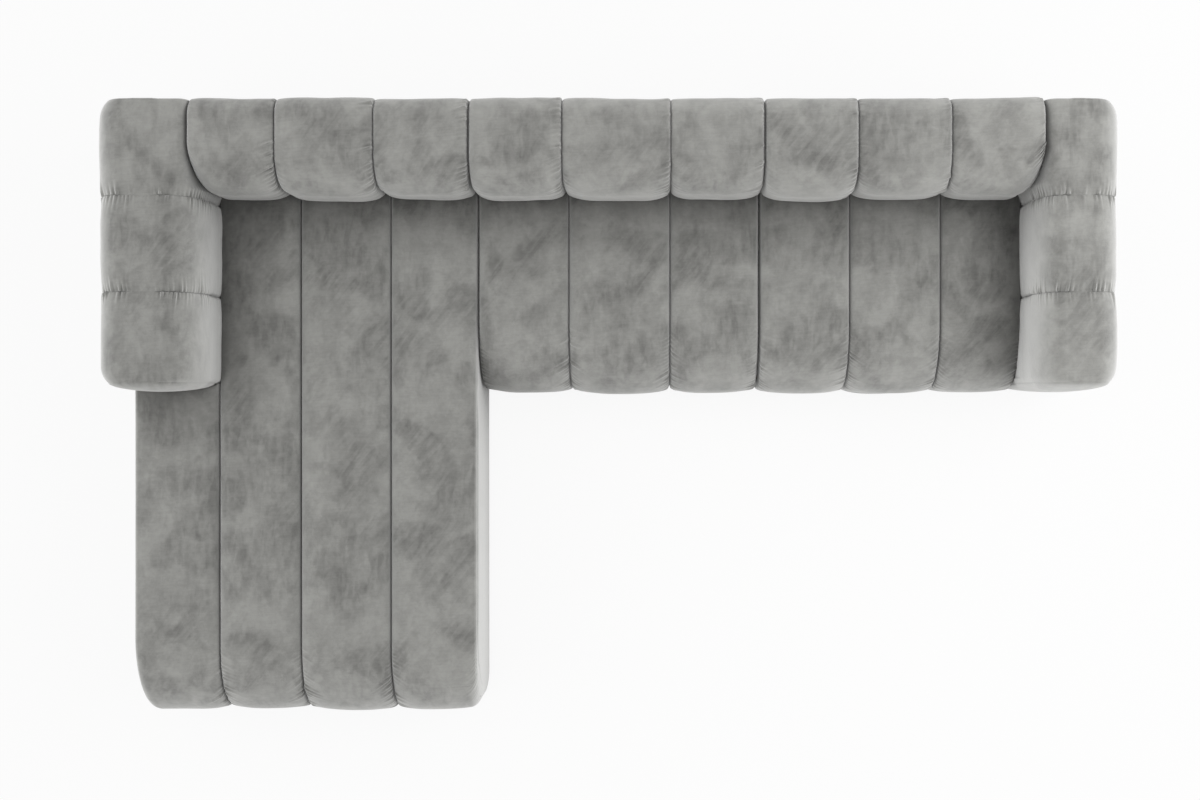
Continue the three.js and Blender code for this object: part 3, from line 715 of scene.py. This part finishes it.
def brushed_nap():
    """Group: patches and strokes where the pile lies one way or the other, and the fine pile itself."""
    group, start, end = node_group(
        "brushed_nap",
        [
            ("Light", "NodeSocketColor", (0.33, 0.33, 0.32, 1)),
            ("Dark", "NodeSocketColor", (0.19, 0.19, 0.183, 1)),
            ("Patch Size", "NodeSocketFloat", 0.16),
        ],
        SURFACE,
    )
    place = place_of(group)
    rate = worked(group, "DIVIDE", 1.0, start.outputs["Patch Size"])

    def noise(vector, factor, detail, rough, distortion):
        scale = worked(group, "MULTIPLY", rate, factor)
        inputs = {"Vector": vector, "Scale": scale, "Detail": detail, "Roughness": rough}
        inputs["Distortion"] = distortion
        return add_node(group, "ShaderNodeTexNoise", inputs).outputs["Fac"]

    def ramp(value, low, high, to_low=0.0, to_high=1.0):
        inputs = {"From Min": low, "From Max": high, "To Min": to_low, "To Max": to_high}
        return ranged(group, value, inputs, interpolation_type="SMOOTHSTEP")

    def mix(operation, a, b):
        return worked(group, operation, a, b)

    def turned(degrees, length, width):
        return add_node(
            group, "ShaderNodeMapping",
            {"Vector": place, "Rotation": (0, 0, math.radians(degrees)), "Scale": (length, width, 1.0)},
            vector_type="TEXTURE",
        ).outputs["Vector"]

    patches = ramp(noise(place, 1.0, 3.0, 0.5, 0.5), 0.36, 0.64)
    islands = ramp(noise(turned(84, 1.3, 1.0), 2.4, 3.0, 0.52, 0.5), 0.36, 0.64)
    # Strokes of a brush, upright in some places and slanted in others
    upright = noise(turned(88, 1.9, 0.6), 4.2, 3.0, 0.52, 0.4)
    slanted = noise(turned(52, 2.6, 0.5), 4.0, 3.0, 0.52, 0.3)
    where = ramp(noise(place, 0.45, 1.0, 0.5, 0.0), 0.47, 0.58)
    strokes = add_node(group, "ShaderNodeMix", {"Factor": where, 2: upright, 3: slanted}).outputs[0]
    strokes = ramp(strokes, 0.36, 0.62)
    small = ramp(noise(place, 9.0, 4.0, 0.62, 0.4), 0.34, 0.66)
    threads = ramp(noise(turned(4, 5.0, 0.5), 14.0, 2.0, 0.5, 0.2), 0.40, 0.66)
    # What each of them takes from the light nap
    deep = mix("SUBTRACT", 1.0, patches)
    worn = mix("MULTIPLY", mix("MULTIPLY", mix("SUBTRACT", 1.0, strokes), mix("ADD", deep, 0.25)), 0.20)
    loss = mix("ADD", mix("MULTIPLY", deep, 0.28), mix("MULTIPLY", mix("SUBTRACT", 1.0, islands), 0.22))
    loss = mix("ADD", mix("ADD", loss, worn), mix("MULTIPLY", small, 0.13))
    loss = mix("ADD", loss, mix("MULTIPLY", threads, 0.06))
    lay = mix("SUBTRACT", 1.0, loss)
    pile = noise(place, 90.0, 2.0, 0.6, 0.0)
    shade = mix("ADD", lay, ramp(pile, 0.25, 0.75, -0.06, 0.06))
    set_inputs(group, end, {
        "Color": blend(group, shade, start.outputs["Dark"], start.outputs["Light"], clamp_factor=True),
        "Roughness": ramp(lay, 0.0, 1.0, 0.98, 0.78),
        "Height": mix("ADD", mix("MULTIPLY", pile, 0.5), mix("MULTIPLY", small, 0.5)),
    })
    return group


def principled(name):
    """A new material, its tree and its Principled shader."""
    material = bpy.data.materials.new(name)
    material.use_nodes = True
    return material, material.node_tree, material.node_tree.nodes["Principled BSDF"]


def velvet(look):
    """Brushed grey velvet, with painted sheen where it turns away from the view, and painted shade where it
    faces the view and in hollows.
    """
    material, tree, shader = principled("velvet")
    values = {"Light": (*look.light, 1), "Dark": (*look.dark, 1), "Patch Size": look.patch_size}
    nap = add_node(tree, "ShaderNodeGroup", values, node_tree=brushed_nap()).outputs
    relief = {"Height": nap["Height"], "Strength": 0.25, "Distance": 0.0012}
    normal = add_node(tree, "ShaderNodeBump", relief).outputs["Normal"]
    facing = add_node(tree, "ShaderNodeLayerWeight", {"Blend": 0.5, "Normal": normal}).outputs["Facing"]
    # Painted sheen: the rim colour is mixed into the base colour where the cover turns away from the view,
    # most where it turns to the left or the right
    way = add_node(tree, "ShaderNodeSeparateXYZ", {0: place_of(tree, "Normal")}).outputs["X"]
    way = ranged(tree, worked(tree, "ABSOLUTE", way), {"To Min": 0.35, "To Max": 1.0})
    turned = worked(tree, "MULTIPLY", worked(tree, "POWER", facing, 1.4), way)
    # Painted shade where the cover faces the view, and a little painted sheen where it turns away
    painted_facing_shade = worked(tree, "POWER", facing, 0.5)
    painted_facing_shade = ranged(tree, painted_facing_shade, {"From Max": 0.55, "To Min": 0.88, "To Max": 1.06})
    # Painted shade in hollows too, from ambient occlusion, down to a floor
    hollow_shade = add_node(tree, "ShaderNodeAmbientOcclusion", {"Distance": 0.25, "Normal": normal}, samples=8)
    depth = worked(tree, "POWER", hollow_shade.outputs["AO"], look.hollow_shade)
    depth = worked(tree, "MULTIPLY", worked(tree, "MAXIMUM", depth, 0.42), painted_facing_shade)
    # The nap colour with the painted shade multiplied in
    pile_in_painted_shade = blend(tree, 1.0, nap["Color"], depth, blend_type="MULTIPLY")
    # The painted sheen colour, dimmed a little by the painted shade
    rim = blend(tree, 1.0, (*look.rim, 1), worked(tree, "POWER", depth, 0.5), blend_type="MULTIPLY")
    set_inputs(tree, shader, {
        "Base Color": blend(tree, turned, pile_in_painted_shade, rim),
        "Roughness": nap["Roughness"],
        "Normal": normal,
        "Specular IOR Level": 0.15,
        "Sheen Weight": look.sheen,
        "Sheen Roughness": 0.35,
        "Sheen Tint": (0.95, 0.95, 0.93, 1),
    })
    return material


def fine_speckle():
    """Group: a two-tone speckle with a little relief, for cloth, plastic and plating."""
    group, start, end = node_group(
        "fine_speckle",
        [
            ("Light", "NodeSocketColor", (0.5, 0.5, 0.5, 1)),
            ("Dark", "NodeSocketColor", (0.3, 0.3, 0.3, 1)),
            ("Scale", "NodeSocketFloat", 200.0),
            ("Roughness", "NodeSocketFloat", 0.5),
        ],
        SURFACE,
    )
    place = place_of(group)
    grains = {"Vector": place, "Scale": start.outputs["Scale"], "Detail": 3.0, "Roughness": 0.6}
    grain = add_node(group, "ShaderNodeTexNoise", grains).outputs["Fac"]
    broad = {"Vector": place, "Scale": 9.0, "Detail": 3.0}
    broad = add_node(group, "ShaderNodeTexNoise", broad).outputs["Fac"]
    both = worked(group, "MULTIPLY_ADD", grain, broad, 0.2)
    shift = ranged(group, broad, {"To Min": -0.08, "To Max": 0.08})
    set_inputs(group, end, {
        "Color": blend(group, both, start.outputs["Dark"], start.outputs["Light"], clamp_factor=True),
        "Roughness": worked(group, "ADD", start.outputs["Roughness"], shift),
        "Height": grain,
    })
    return group


def speckled(name, group, light, dark, scale, roughness, depth, metallic=0.0):
    """A material of the fine speckle with its own values."""
    material, tree, shader = principled(name)
    values = {"Light": (*light, 1), "Dark": (*dark, 1), "Scale": scale, "Roughness": roughness}
    speckle = add_node(tree, "ShaderNodeGroup", values, node_tree=group).outputs
    bump = add_node(tree, "ShaderNodeBump", {"Height": speckle["Height"], "Strength": 0.4, "Distance": depth})
    set_inputs(tree, shader, {
        "Base Color": speckle["Color"],
        "Roughness": speckle["Roughness"],
        "Normal": bump.outputs["Normal"],
        "Metallic": metallic,
    })
    return material


def timber():
    """Bare softwood with straight grain."""
    material, tree, shader = principled("timber")
    stretched = add_node(tree, "ShaderNodeMapping", {"Vector": place_of(tree), "Scale": (1.2, 1.2, 14.0)})
    inputs = {"Scale": 9.0, "Detail": 7.0, "Roughness": 0.62, "Distortion": 1.1}
    inputs["Vector"] = stretched.outputs["Vector"]
    grain = add_node(tree, "ShaderNodeTexNoise", inputs).outputs["Fac"]
    ramp = add_node(tree, "ShaderNodeValToRGB", {"Fac": grain})
    tones = ((0.3, (0.38, 0.235, 0.115, 1)), (0.72, (0.62, 0.44, 0.25, 1)))
    for element, (position, colour) in zip(ramp.color_ramp.elements, tones):
        element.position = position
        element.color = colour
    bump = add_node(tree, "ShaderNodeBump", {"Height": grain, "Strength": 0.2, "Distance": 0.001})
    set_inputs(tree, shader, {
        "Base Color": ramp.outputs["Color"],
        "Normal": bump.outputs["Normal"],
        "Roughness": 0.7,
    })
    return material


# The speckled materials: light tone, dark tone, scale, roughness, depth of the relief and metallic
SPECKLES = {
    "spring_steel": ((0.52, 0.53, 0.55), (0.38, 0.39, 0.40), 240.0, 0.38, 0.0002, 1.0),
    "zinc_plate": ((0.72, 0.73, 0.75), (0.55, 0.57, 0.60), 160.0, 0.34, 0.0002, 1.0),
    "felt": ((0.20, 0.19, 0.18), (0.06, 0.058, 0.055), 420.0, 0.97, 0.002),
    "dust_cloth": ((0.030, 0.030, 0.032), (0.008, 0.008, 0.009), 700.0, 0.9, 0.0008),
    "foot_plastic": ((0.022, 0.022, 0.025), (0.010, 0.010, 0.012), 900.0, 0.48, 0.0003),
}
MATERIALS = {}


def material_of(slot):
    """The material of a record's slot. The first call makes them all."""
    if not MATERIALS:
        speckle = fine_speckle()
        MATERIALS["velvet"] = velvet(bpy.context.scene.sofa_velvet)
        MATERIALS["timber"] = timber()
        for name, values in SPECKLES.items():
            MATERIALS[name] = speckled(name, speckle, *values)
    return MATERIALS[slot]


# Pieces


def pad_piece(node, mesh):
    """A velvet pad that stands for a CAD pad."""
    piece = add_piece(node.replace("_pad", "_cushion"), mesh, material_of("velvet"))
    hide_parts(node)


class SOFA_OT_seat_pads(bpy.types.Operator):
    """Make the channelled seat of each module."""

    bl_idname = "sofa.seat_pads"
    bl_label = "Seat pads"

    def execute(self, context):
        feel = context.scene.sofa_upholstery
        for seed, (module, shares) in enumerate(MODULES.items(), 11):
            low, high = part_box(f"{module}_seat_pad")
            room = (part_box(f"{module}_front_rail")[0].y - FIT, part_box(f"{module}_spring_cover")[1].z + FIT)
            if module == "chaise":
                mesh = chaise_seat_mesh(low, high, room, shares["seat"], seed, feel)
            else:
                outline = seat_outline(low, high, high.y, room, feel)
                seams = seams_between(low.x, high.x, shares["seat"])
                seams[-1] -= ARM_FOOT.get(module, 0.0)
                grid = pad_surface(seed, outline, seams, across, feel, gap=3.0)
                mesh = loft_mesh(f"{module}_seat", grid)
            pad_piece(f"{module}_seat_pad", mesh)
        return {"FINISHED"}


# Places near the open side of the chaise, from its edge inwards, and how full the pad is at each: a small
# round edge with one shallow row of stitches
SIDE_BAND = (
    (0.0, 0.50), (0.0008, 0.66), (0.002, 0.78), (0.004, 0.88), (0.0052, 0.85), (0.0064, 0.92),
    (0.010, 0.97), (0.016, 0.985), (0.028, 0.99), (0.040, 1.0), (0.150, 1.0),
)
# The same for its outer side, whose edge is one soft round
OUTER_BAND = (
    (0.0, 0.40), (0.002, 0.58), (0.006, 0.74), (0.014, 0.88), (0.028, 0.96), (0.050, 1.0), (0.150, 1.0),
)
# Two stations this far apart make the upright end of a room
WALL_STEP = 0.0001
# Where the finish and the bulge of the open side end: how far past the middle module's front, and over what
# length
SIDE_FINISH_END = (0.05, 0.06)
SIDE_BULGE_END = (0.01, 0.08)
OPEN_SIDE_BULGE = 0.004
# How far the fourth channel reaches into the one beside it
SIDE_LAP = 0.001


def chaise_seat_mesh(low, high, room, shares, seed, feel):
    """The chaise's pad: three channels to the back, and a fourth that starts under the arm's front."""
    # The velvet covers the side rail down to its lower edge, which shows on the open side
    low = low.copy()
    low.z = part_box("chaise_right_side_rail")[0].z
    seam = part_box("chaise_back_pad")[0].x + ARM_FOOT["chaise"]
    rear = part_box("chaise_arm_pad")[0].y + feel.arm_bow - FIT
    frame_low, frame_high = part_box("chaise_dust_cover")
    left_wall, right_wall = frame_low.x - FIT, frame_high.x + FIT
    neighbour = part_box("middle_seat_pad")[0].y
    wall_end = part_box("middle_front_rail")[0].y
    face = low.y + feel.front_swell

    def corner(u, v, at, row):
        """Sets the front corners of the chaise back in a round."""
        depth = sum(
            corner_depth(np.abs(at - x), width) * (reach / width)
            for x, (width, reach) in zip((low.x, high.x), CHAISE_CORNERS))
        hold = np.clip(1 - (row["u"] - face - SEAT_EDGE[0]) / CHAISE_CORNER_FADE, 0, 1) * (row["role"] == 0)
        return u + depth * hold, v

    def main_shape(u, v, at, row):
        """Closes the room at the open side, in front of the middle module."""
        u, v = corner(u, v, at, row)
        walled = (at > right_wall) & ((row["role"] == 1) | (row["role"] == 2))
        return np.where(walled, wall_end, u), np.broadcast_to(v, u.shape)

    def side_shape(u, v, at, row):
        """Closes the room at the outer side."""
        u, v = corner(u, v, at, row)
        walled = at < left_wall
        u = np.where(walled & ((row["role"] == 1) | (row["role"] == 2)), rear, u)
        return u, np.where(walled & (row["role"] == 2), (low.z + room[1]) / 2, v)

    def open_side(fill, at, row):
        """Keeps the pad square along the side that no module touches."""
        band = np.interp(high.x - at, *zip(*SIDE_BAND))
        band = np.where(high.x - at < SIDE_BAND[-1][0], band, fill)
        here = smooth((neighbour + SIDE_FINISH_END[0] - row["u"]) / SIDE_FINISH_END[1])
        here = here * (row["nu"] > -0.5)
        return fill + (band - fill) * here

    def outer_side(fill, at, row):
        """Keeps the pad full along its outer side."""
        band = np.interp(at - low.x, *zip(*OUTER_BAND))
        return np.maximum(fill, band * (at - low.x < OUTER_BAND[-1][0]))

    main = pad_surface(
        seed, seat_outline(low, high, high.y, room, feel), seams_between(seam, high.x, shares), across, feel,
        extra=[high.x - away for away, _ in SIDE_BAND[:-1]] + [right_wall, right_wall + WALL_STEP],
        trim=open_side, shape=main_shape, ends=(1.0, 0.25),
    )
    side_seams = seams_between(low.x, seam + SIDE_LAP, (1.0,))
    side = pad_surface(
        seed + 50, seat_outline(low, high, rear, room, feel), side_seams, across, feel,
        extra=[left_wall - WALL_STEP, left_wall], trim=outer_side, shape=side_shape, ends=(0.0, 1.0),
    )
    ring = main[-1]
    reach = OPEN_SIDE_BULGE * smooth((neighbour + SIDE_BULGE_END[0] - ring[:, 1]) / SIDE_BULGE_END[1])
    middle = np.array([high.x, (low.y + neighbour) / 2, (room[1] + high.z) / 2])
    main_mesh = loft_mesh("chaise_seat", main, last=bow_rings(ring, 0, reach, middle))
    return joined(main_mesh, loft_mesh("chaise_seat_side", side))


class SOFA_OT_back_pads(bpy.types.Operator):
    """Make the lobed back of each module."""

    bl_idname = "sofa.back_pads"
    bl_label = "Back pads"

    def execute(self, context):
        feel = context.scene.sofa_upholstery
        for seed, (module, shares) in enumerate(MODULES.items(), 31):
            low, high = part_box(f"{module}_back_pad")
            seat_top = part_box(f"{module}_seat_pad")[1].z
            slot_low, slot_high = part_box(f"{module}_back_panel")
            fit = Vector((0, FIT, FIT))
            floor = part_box(f"{module}_spring_cover")[1].z + FIT
            outline = back_outline(low, high, seat_top, (slot_low - fit, slot_high + fit), floor, feel)
            seams = seams_between(low.x, high.x, shares["back"])
            end = {"chaise": low.x, "end": high.x}.get(module)
            front = low.y + feel.back_swell

            def rounded(u, v, at, row):
                """Sets the corner beside an arm back in a round."""
                if end is None:
                    return u, v
                hold = np.clip(1 - (u - front) / BACK_CORNER_FADE, 0, 1) * (row["role"] == 0)
                return u + corner_depth(np.abs(at - end), BACK_CORNER_RADIUS) * hold, v

            grid = pad_surface(
                seed, outline, seams, across, feel, sides=(0.3, 1.4), lean=0.3, shape=rounded, gap=2.0,
            )
            pad_piece(f"{module}_back_pad", loft_mesh(f"{module}_back", grid))
        return {"FINISHED"}


class SOFA_OT_arm_pads(bpy.types.Operator):
    """Make the two arms, each of three lobes with bowed end panels."""

    bl_idname = "sofa.arm_pads"
    bl_label = "Arm pads"

    def execute(self, context):
        feel = context.scene.sofa_upholstery
        pad_piece("chaise_arm_pad", arm_mesh("chaise", 1, 51, feel))
        pad_piece("end_arm_pad", arm_mesh("end", -1, 52, feel))
        return {"FINISHED"}


# In the rear lobe of an arm: where its inner edge starts to turn tight past the seam, and over what length
REAR_TURN = (0.02, 0.09)
# How the arm fills the round corner of the back: the gap it keeps, its most, and over what length it starts
FILL_GAP, FILL_MOST, FILL_RUN = 0.0015, 0.018, 0.05


def arm_mesh(module, sign, seed, feel):
    """An arm pad. sign is 1 where the arm's inner face looks towards +x."""
    low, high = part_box(f"{module}_arm_pad")
    seat_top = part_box(f"{module}_seat_pad")[1].z
    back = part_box(f"{module}_back_pad")
    frame_low, frame_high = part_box(f"{module}_arm_frame")
    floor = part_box(f"{module}_spring_cover")[1].z + FIT
    foot = ARM_FOOT[module]
    if sign > 0:
        outer, inner = low.x, back[0].x - PAD_GAP + foot
        far = (frame_low.x, frame_high.x)
    else:
        outer, inner = high.x, back[1].x + PAD_GAP - foot
        far = (frame_high.x, frame_low.x)
    room = (abs(far[0] - outer) - FIT, abs(far[1] - outer) + FIT, frame_high.z + FIT)
    depth = high.y - low.y
    rear, front = high.y - ARM_REAR_BOW, low.y + feel.arm_bow
    seams = np.array([rear, *(high.y - depth * share for share in ARM_SEAM_SHARES), front])
    walls = (frame_low.y - FIT, frame_high.y + FIT)
    # The arm fills the round corner of the back: how far the back is from the arm at each place along it
    beside = np.linspace(BACK_CORNER_RADIUS, 0, 40)
    lobe = abs(back[1].x - back[0].x) / len(MODULES[module]["back"])
    full = np.sqrt(1 - (1 - 2 * beside / lobe) ** BACK_SQUARE)
    corner_y = back[0].y + feel.back_swell * (1 - full) + corner_depth(beside, BACK_CORNER_RADIUS)

    width, top = abs(inner - outer), high.z - feel.arm_swell
    sloped, tight = ARM_INNER_RADII[module], ARM_REAR_RADII
    outline = arm_outline(width, high.z, low.z, seat_top, room, floor, sloped, feel)
    stretch = (top - tight[1] - seat_top) / (top - sloped[1] - seat_top)

    def place(u, v, at):
        """Point of the arm, whose outline is in (x, z) and whose lobes lie in a row along y."""
        return np.stack([outer + sign * u, at, v], axis=-1)

    def fuller(u, v, at, row):
        """Turns the sloping inner edge into a tight one in the rear lobe, beside the back."""
        share = smooth((at - seams[1] - REAR_TURN[0]) / REAR_TURN[1])
        inward = row["nu"] > 1e-6
        wall = inward & (row["nv"] < 0.001)
        arc = inward & ~wall
        u = u + share * arc * (width - row["u"]) * (1 - tight[0] / sloped[0])
        rise = arc * (top - row["v"]) * (1 - tight[1] / sloped[1])
        rise = rise + wall * (row["v"] - seat_top) * (stretch - 1)
        return u, v + share * rise

    def walled(u, v, at, row):
        """Closes the room at the front and rear walls, fits the arm to the back, and rounds its ends."""
        u, v = fuller(u, v, at, row)
        in_wall = (at < walls[0]) | (at > walls[1])
        level = np.where((at < walls[0]) & (module == "chaise"), floor, low.z)
        spread = room[0] + (room[1] - room[0]) * (row["role"] - 1) / 3
        across_room = in_wall & (row["role"] > 1) & (row["role"] < 5)
        v = np.where(in_wall & (row["role"] > 1), level, v)
        aside = np.clip(np.interp(at, corner_y, beside) - FILL_GAP, 0, foot + FILL_MOST) - foot
        aside = aside * smooth((at - seams[1]) / FILL_RUN)
        u = u + aside * np.where(row["role"] == 5, 1.0, 1 - row["bulge"])
        to_end = np.minimum(at - front, rear - at)
        cover = row["swell"] > 0
        turns = [
            corner_depth(to_end, radius, run)
            for run, radius in (ARM_OUTER_CORNER, ARM_INNER_CORNER, ARM_TOP_CORNER)
        ]
        u = u + np.clip(-row["nu"], 0, 1) * turns[0] * cover
        u = u - np.clip(row["nu"], 0, 1) * (at < seams[2]) * turns[1] * cover
        v = v - np.clip(row["nv"], 0, 1) * turns[2] * cover
        return np.where(across_room, spread, u), v

    grid = pad_surface(
        seed, outline, seams, place, feel, sides=(1.0, 1.0), lean=0.12, shape=walled, flat_lobe=0,
        ends=(0.0, 0.0), extra=[walls[0] - WALL_STEP, walls[0], walls[1], walls[1] + WALL_STEP],
    )
    front_ring = grid[-1].copy()
    if module == "chaise":
        front_ring[:, 2] = np.maximum(front_ring[:, 2], seat_top + PAD_GAP)
    rear_panel = bow_rings(grid[0], 1, ARM_REAR_BOW, pillow=ROUND_PILLOW)
    front_panel = bow_rings(front_ring, 1, -feel.arm_bow, pillow=ROUND_PILLOW)
    return loft_mesh(f"{module}_arm", grid, first=rear_panel, last=front_panel)


class SOFA_OT_frame_finish(bpy.types.Operator):
    """Give the carried-over frame, springs, plates and feet their materials."""

    bl_idname = "sofa.frame_finish"
    bl_label = "Frame finish"

    def execute(self, context):
        for row in frame["record"]["subparts"]:
            node = frame["nodes"][row["node"]]
            node.data.materials.clear()
            node.data.materials.append(material_of(row["material_slot"]))
        return {"FINISHED"}


class SOFA_OT_stage(bpy.types.Operator):
    """Set up the floor, the lights and the camera straight above the sofa."""

    bl_idname = "sofa.stage"
    bl_label = "Stage"

    def execute(self, context):
        look = context.scene.sofa_stage
        add_floor()
        add_lights(look)
        add_camera(look)
        context.scene.view_settings.view_transform = "Standard"
        return {"FINISHED"}


def white_share(tree, strength):
    """How much of a plain white is mixed in: strength to the camera, to reflections and through glass."""
    path = add_node(tree, "ShaderNodeLightPath", {}).outputs
    seen = worked(tree, "MAXIMUM", path["Is Camera Ray"], path["Is Glossy Ray"])
    seen = worked(tree, "MAXIMUM", seen, path["Is Transmission Ray"])
    return worked(tree, "MULTIPLY", seen, strength)


FLOOR_REACH = 30.0
# The rest of the floor is its lit surface, which keeps the shadow
FLOOR_WHITE = 0.90


def add_floor():
    """A plain pale floor that keeps a soft shadow."""
    mesh = bpy.data.meshes.new("floor")
    corners = [(x * FLOOR_REACH, y * FLOOR_REACH, 0) for x, y in ((-1, -1), (1, -1), (1, 1), (-1, 1))]
    mesh.from_pydata(corners, [], [(0, 1, 2, 3)])
    floor = added("floor", mesh)
    material, tree, shader = principled("floor")
    finish = {"Base Color": (0.86, 0.86, 0.86, 1), "Roughness": 1.0, "Specular IOR Level": 0.0}
    set_inputs(tree, shader, finish)
    glow = add_node(tree, "ShaderNodeEmission", {"Color": (1, 1, 1, 1), "Strength": 1.0})
    share = white_share(tree, FLOOR_WHITE)
    both = add_node(tree, "ShaderNodeMixShader", {0: share, 1: shader.outputs[0], 2: glow.outputs[0]})
    tree.links.new(both.outputs[0], tree.nodes["Material Output"].inputs["Surface"])
    mesh.materials.append(material)


# The even light: its level, what it gains towards +x, and what it gains with the square of x and of y
SKY_LEVEL = 0.63
SKY_SLOPE = -0.24
SKY_CURVES = (("X", 0.9), ("Y", -0.3))
LAMP_PLACE = (3.2, 0.6, 3.4)
LAMP_SIZE = 3.0


def add_lights(look):
    """Even light from all sides, a little stronger at the left, and a large soft light above on the right."""
    world = bpy.data.worlds.new("studio")
    bpy.context.scene.world = world
    world.use_nodes = True
    tree = world.node_tree
    sky = tree.nodes["Background"]
    way = add_node(tree, "ShaderNodeSeparateXYZ", {0: place_of(tree, "Generated")}).outputs
    level = worked(tree, "MULTIPLY_ADD", way["X"], SKY_SLOPE, SKY_LEVEL)
    for part, gain in SKY_CURVES:
        squared = worked(tree, "MULTIPLY", way[part], way[part])
        level = worked(tree, "MULTIPLY_ADD", squared, gain, level)
    set_inputs(tree, sky, {"Color": (1, 1, 1, 1), "Strength": worked(tree, "MULTIPLY", level, look.sky)})
    white = add_node(tree, "ShaderNodeBackground", {"Color": (1, 1, 1, 1), "Strength": 1.0})
    share = white_share(tree, 1.0)
    both = add_node(tree, "ShaderNodeMixShader", {0: share, 1: sky.outputs[0], 2: white.outputs[0]})
    tree.links.new(both.outputs[0], tree.nodes["World Output"].inputs["Surface"])
    data = bpy.data.lights.new("key", "AREA")
    data.size = LAMP_SIZE
    data.energy = look.key
    lamp = added("key", data)
    lamp.location = LAMP_PLACE
    lamp.rotation_euler = (-lamp.location).to_track_quat("-Z", "Y").to_euler()


# Camera: a 47 mm lens straight above, a little to the right of and behind the middle of the picture
CAMERA_PLACE = (0.1505, 0.0504)
CAMERA_SHIFT = (-55 / 1200, 0.0)
LENS, SENSOR_WIDTH = 47.0, 36.0


def add_camera(look):
    """The photograph's camera, looking straight down."""
    data = bpy.data.cameras.new("camera")
    data.lens = LENS
    data.sensor_width = SENSOR_WIDTH
    data.shift_x, data.shift_y = CAMERA_SHIFT
    camera = added("camera", data)
    camera.location = (*CAMERA_PLACE, look.camera_height)
    bpy.context.scene.camera = camera


class SOFA_PT_panel(bpy.types.Panel):
    """Lists the sofa's steps and their values."""

    bl_idname = "SOFA_PT_panel"
    bl_label = "Corner sofa"
    bl_space_type = "VIEW_3D"
    bl_region_type = "UI"
    bl_category = "Sofa"

    def draw(self, context):
        for group in (context.scene.sofa_upholstery, context.scene.sofa_velvet, context.scene.sofa_stage):
            box = self.layout.box()
            for name in group.__annotations__:
                box.prop(group, name)
        for operator in OPERATORS:
            self.layout.operator(operator.bl_idname)


OPERATORS = (
    SOFA_OT_seat_pads,
    SOFA_OT_back_pads,
    SOFA_OT_arm_pads,
    SOFA_OT_frame_finish,
    SOFA_OT_stage,
)
GROUPS = {"sofa_upholstery": SofaUpholstery, "sofa_velvet": SofaVelvet, "sofa_stage": SofaStage}


def register():
    """Registers the groups, the operators and the panel."""
    for name, group in GROUPS.items():
        bpy.utils.register_class(group)
        setattr(bpy.types.Scene, name, PointerProperty(type=group))
    for cls in (*OPERATORS, SOFA_PT_panel):
        bpy.utils.register_class(cls)


def unregister():
    """Removes what register added."""
    for cls in (SOFA_PT_panel, *reversed(OPERATORS)):
        bpy.utils.unregister_class(cls)
    for name, group in GROUPS.items():
        delattr(bpy.types.Scene, name)
        bpy.utils.unregister_class(group)


def main():
    """Builds the sofa."""
    register()
    for operator in OPERATORS:
        family, name = operator.bl_idname.split(".")
        getattr(getattr(bpy.ops, family), name)()
    bpy.context.view_layer.update()


if __name__ == "__main__":
    main()
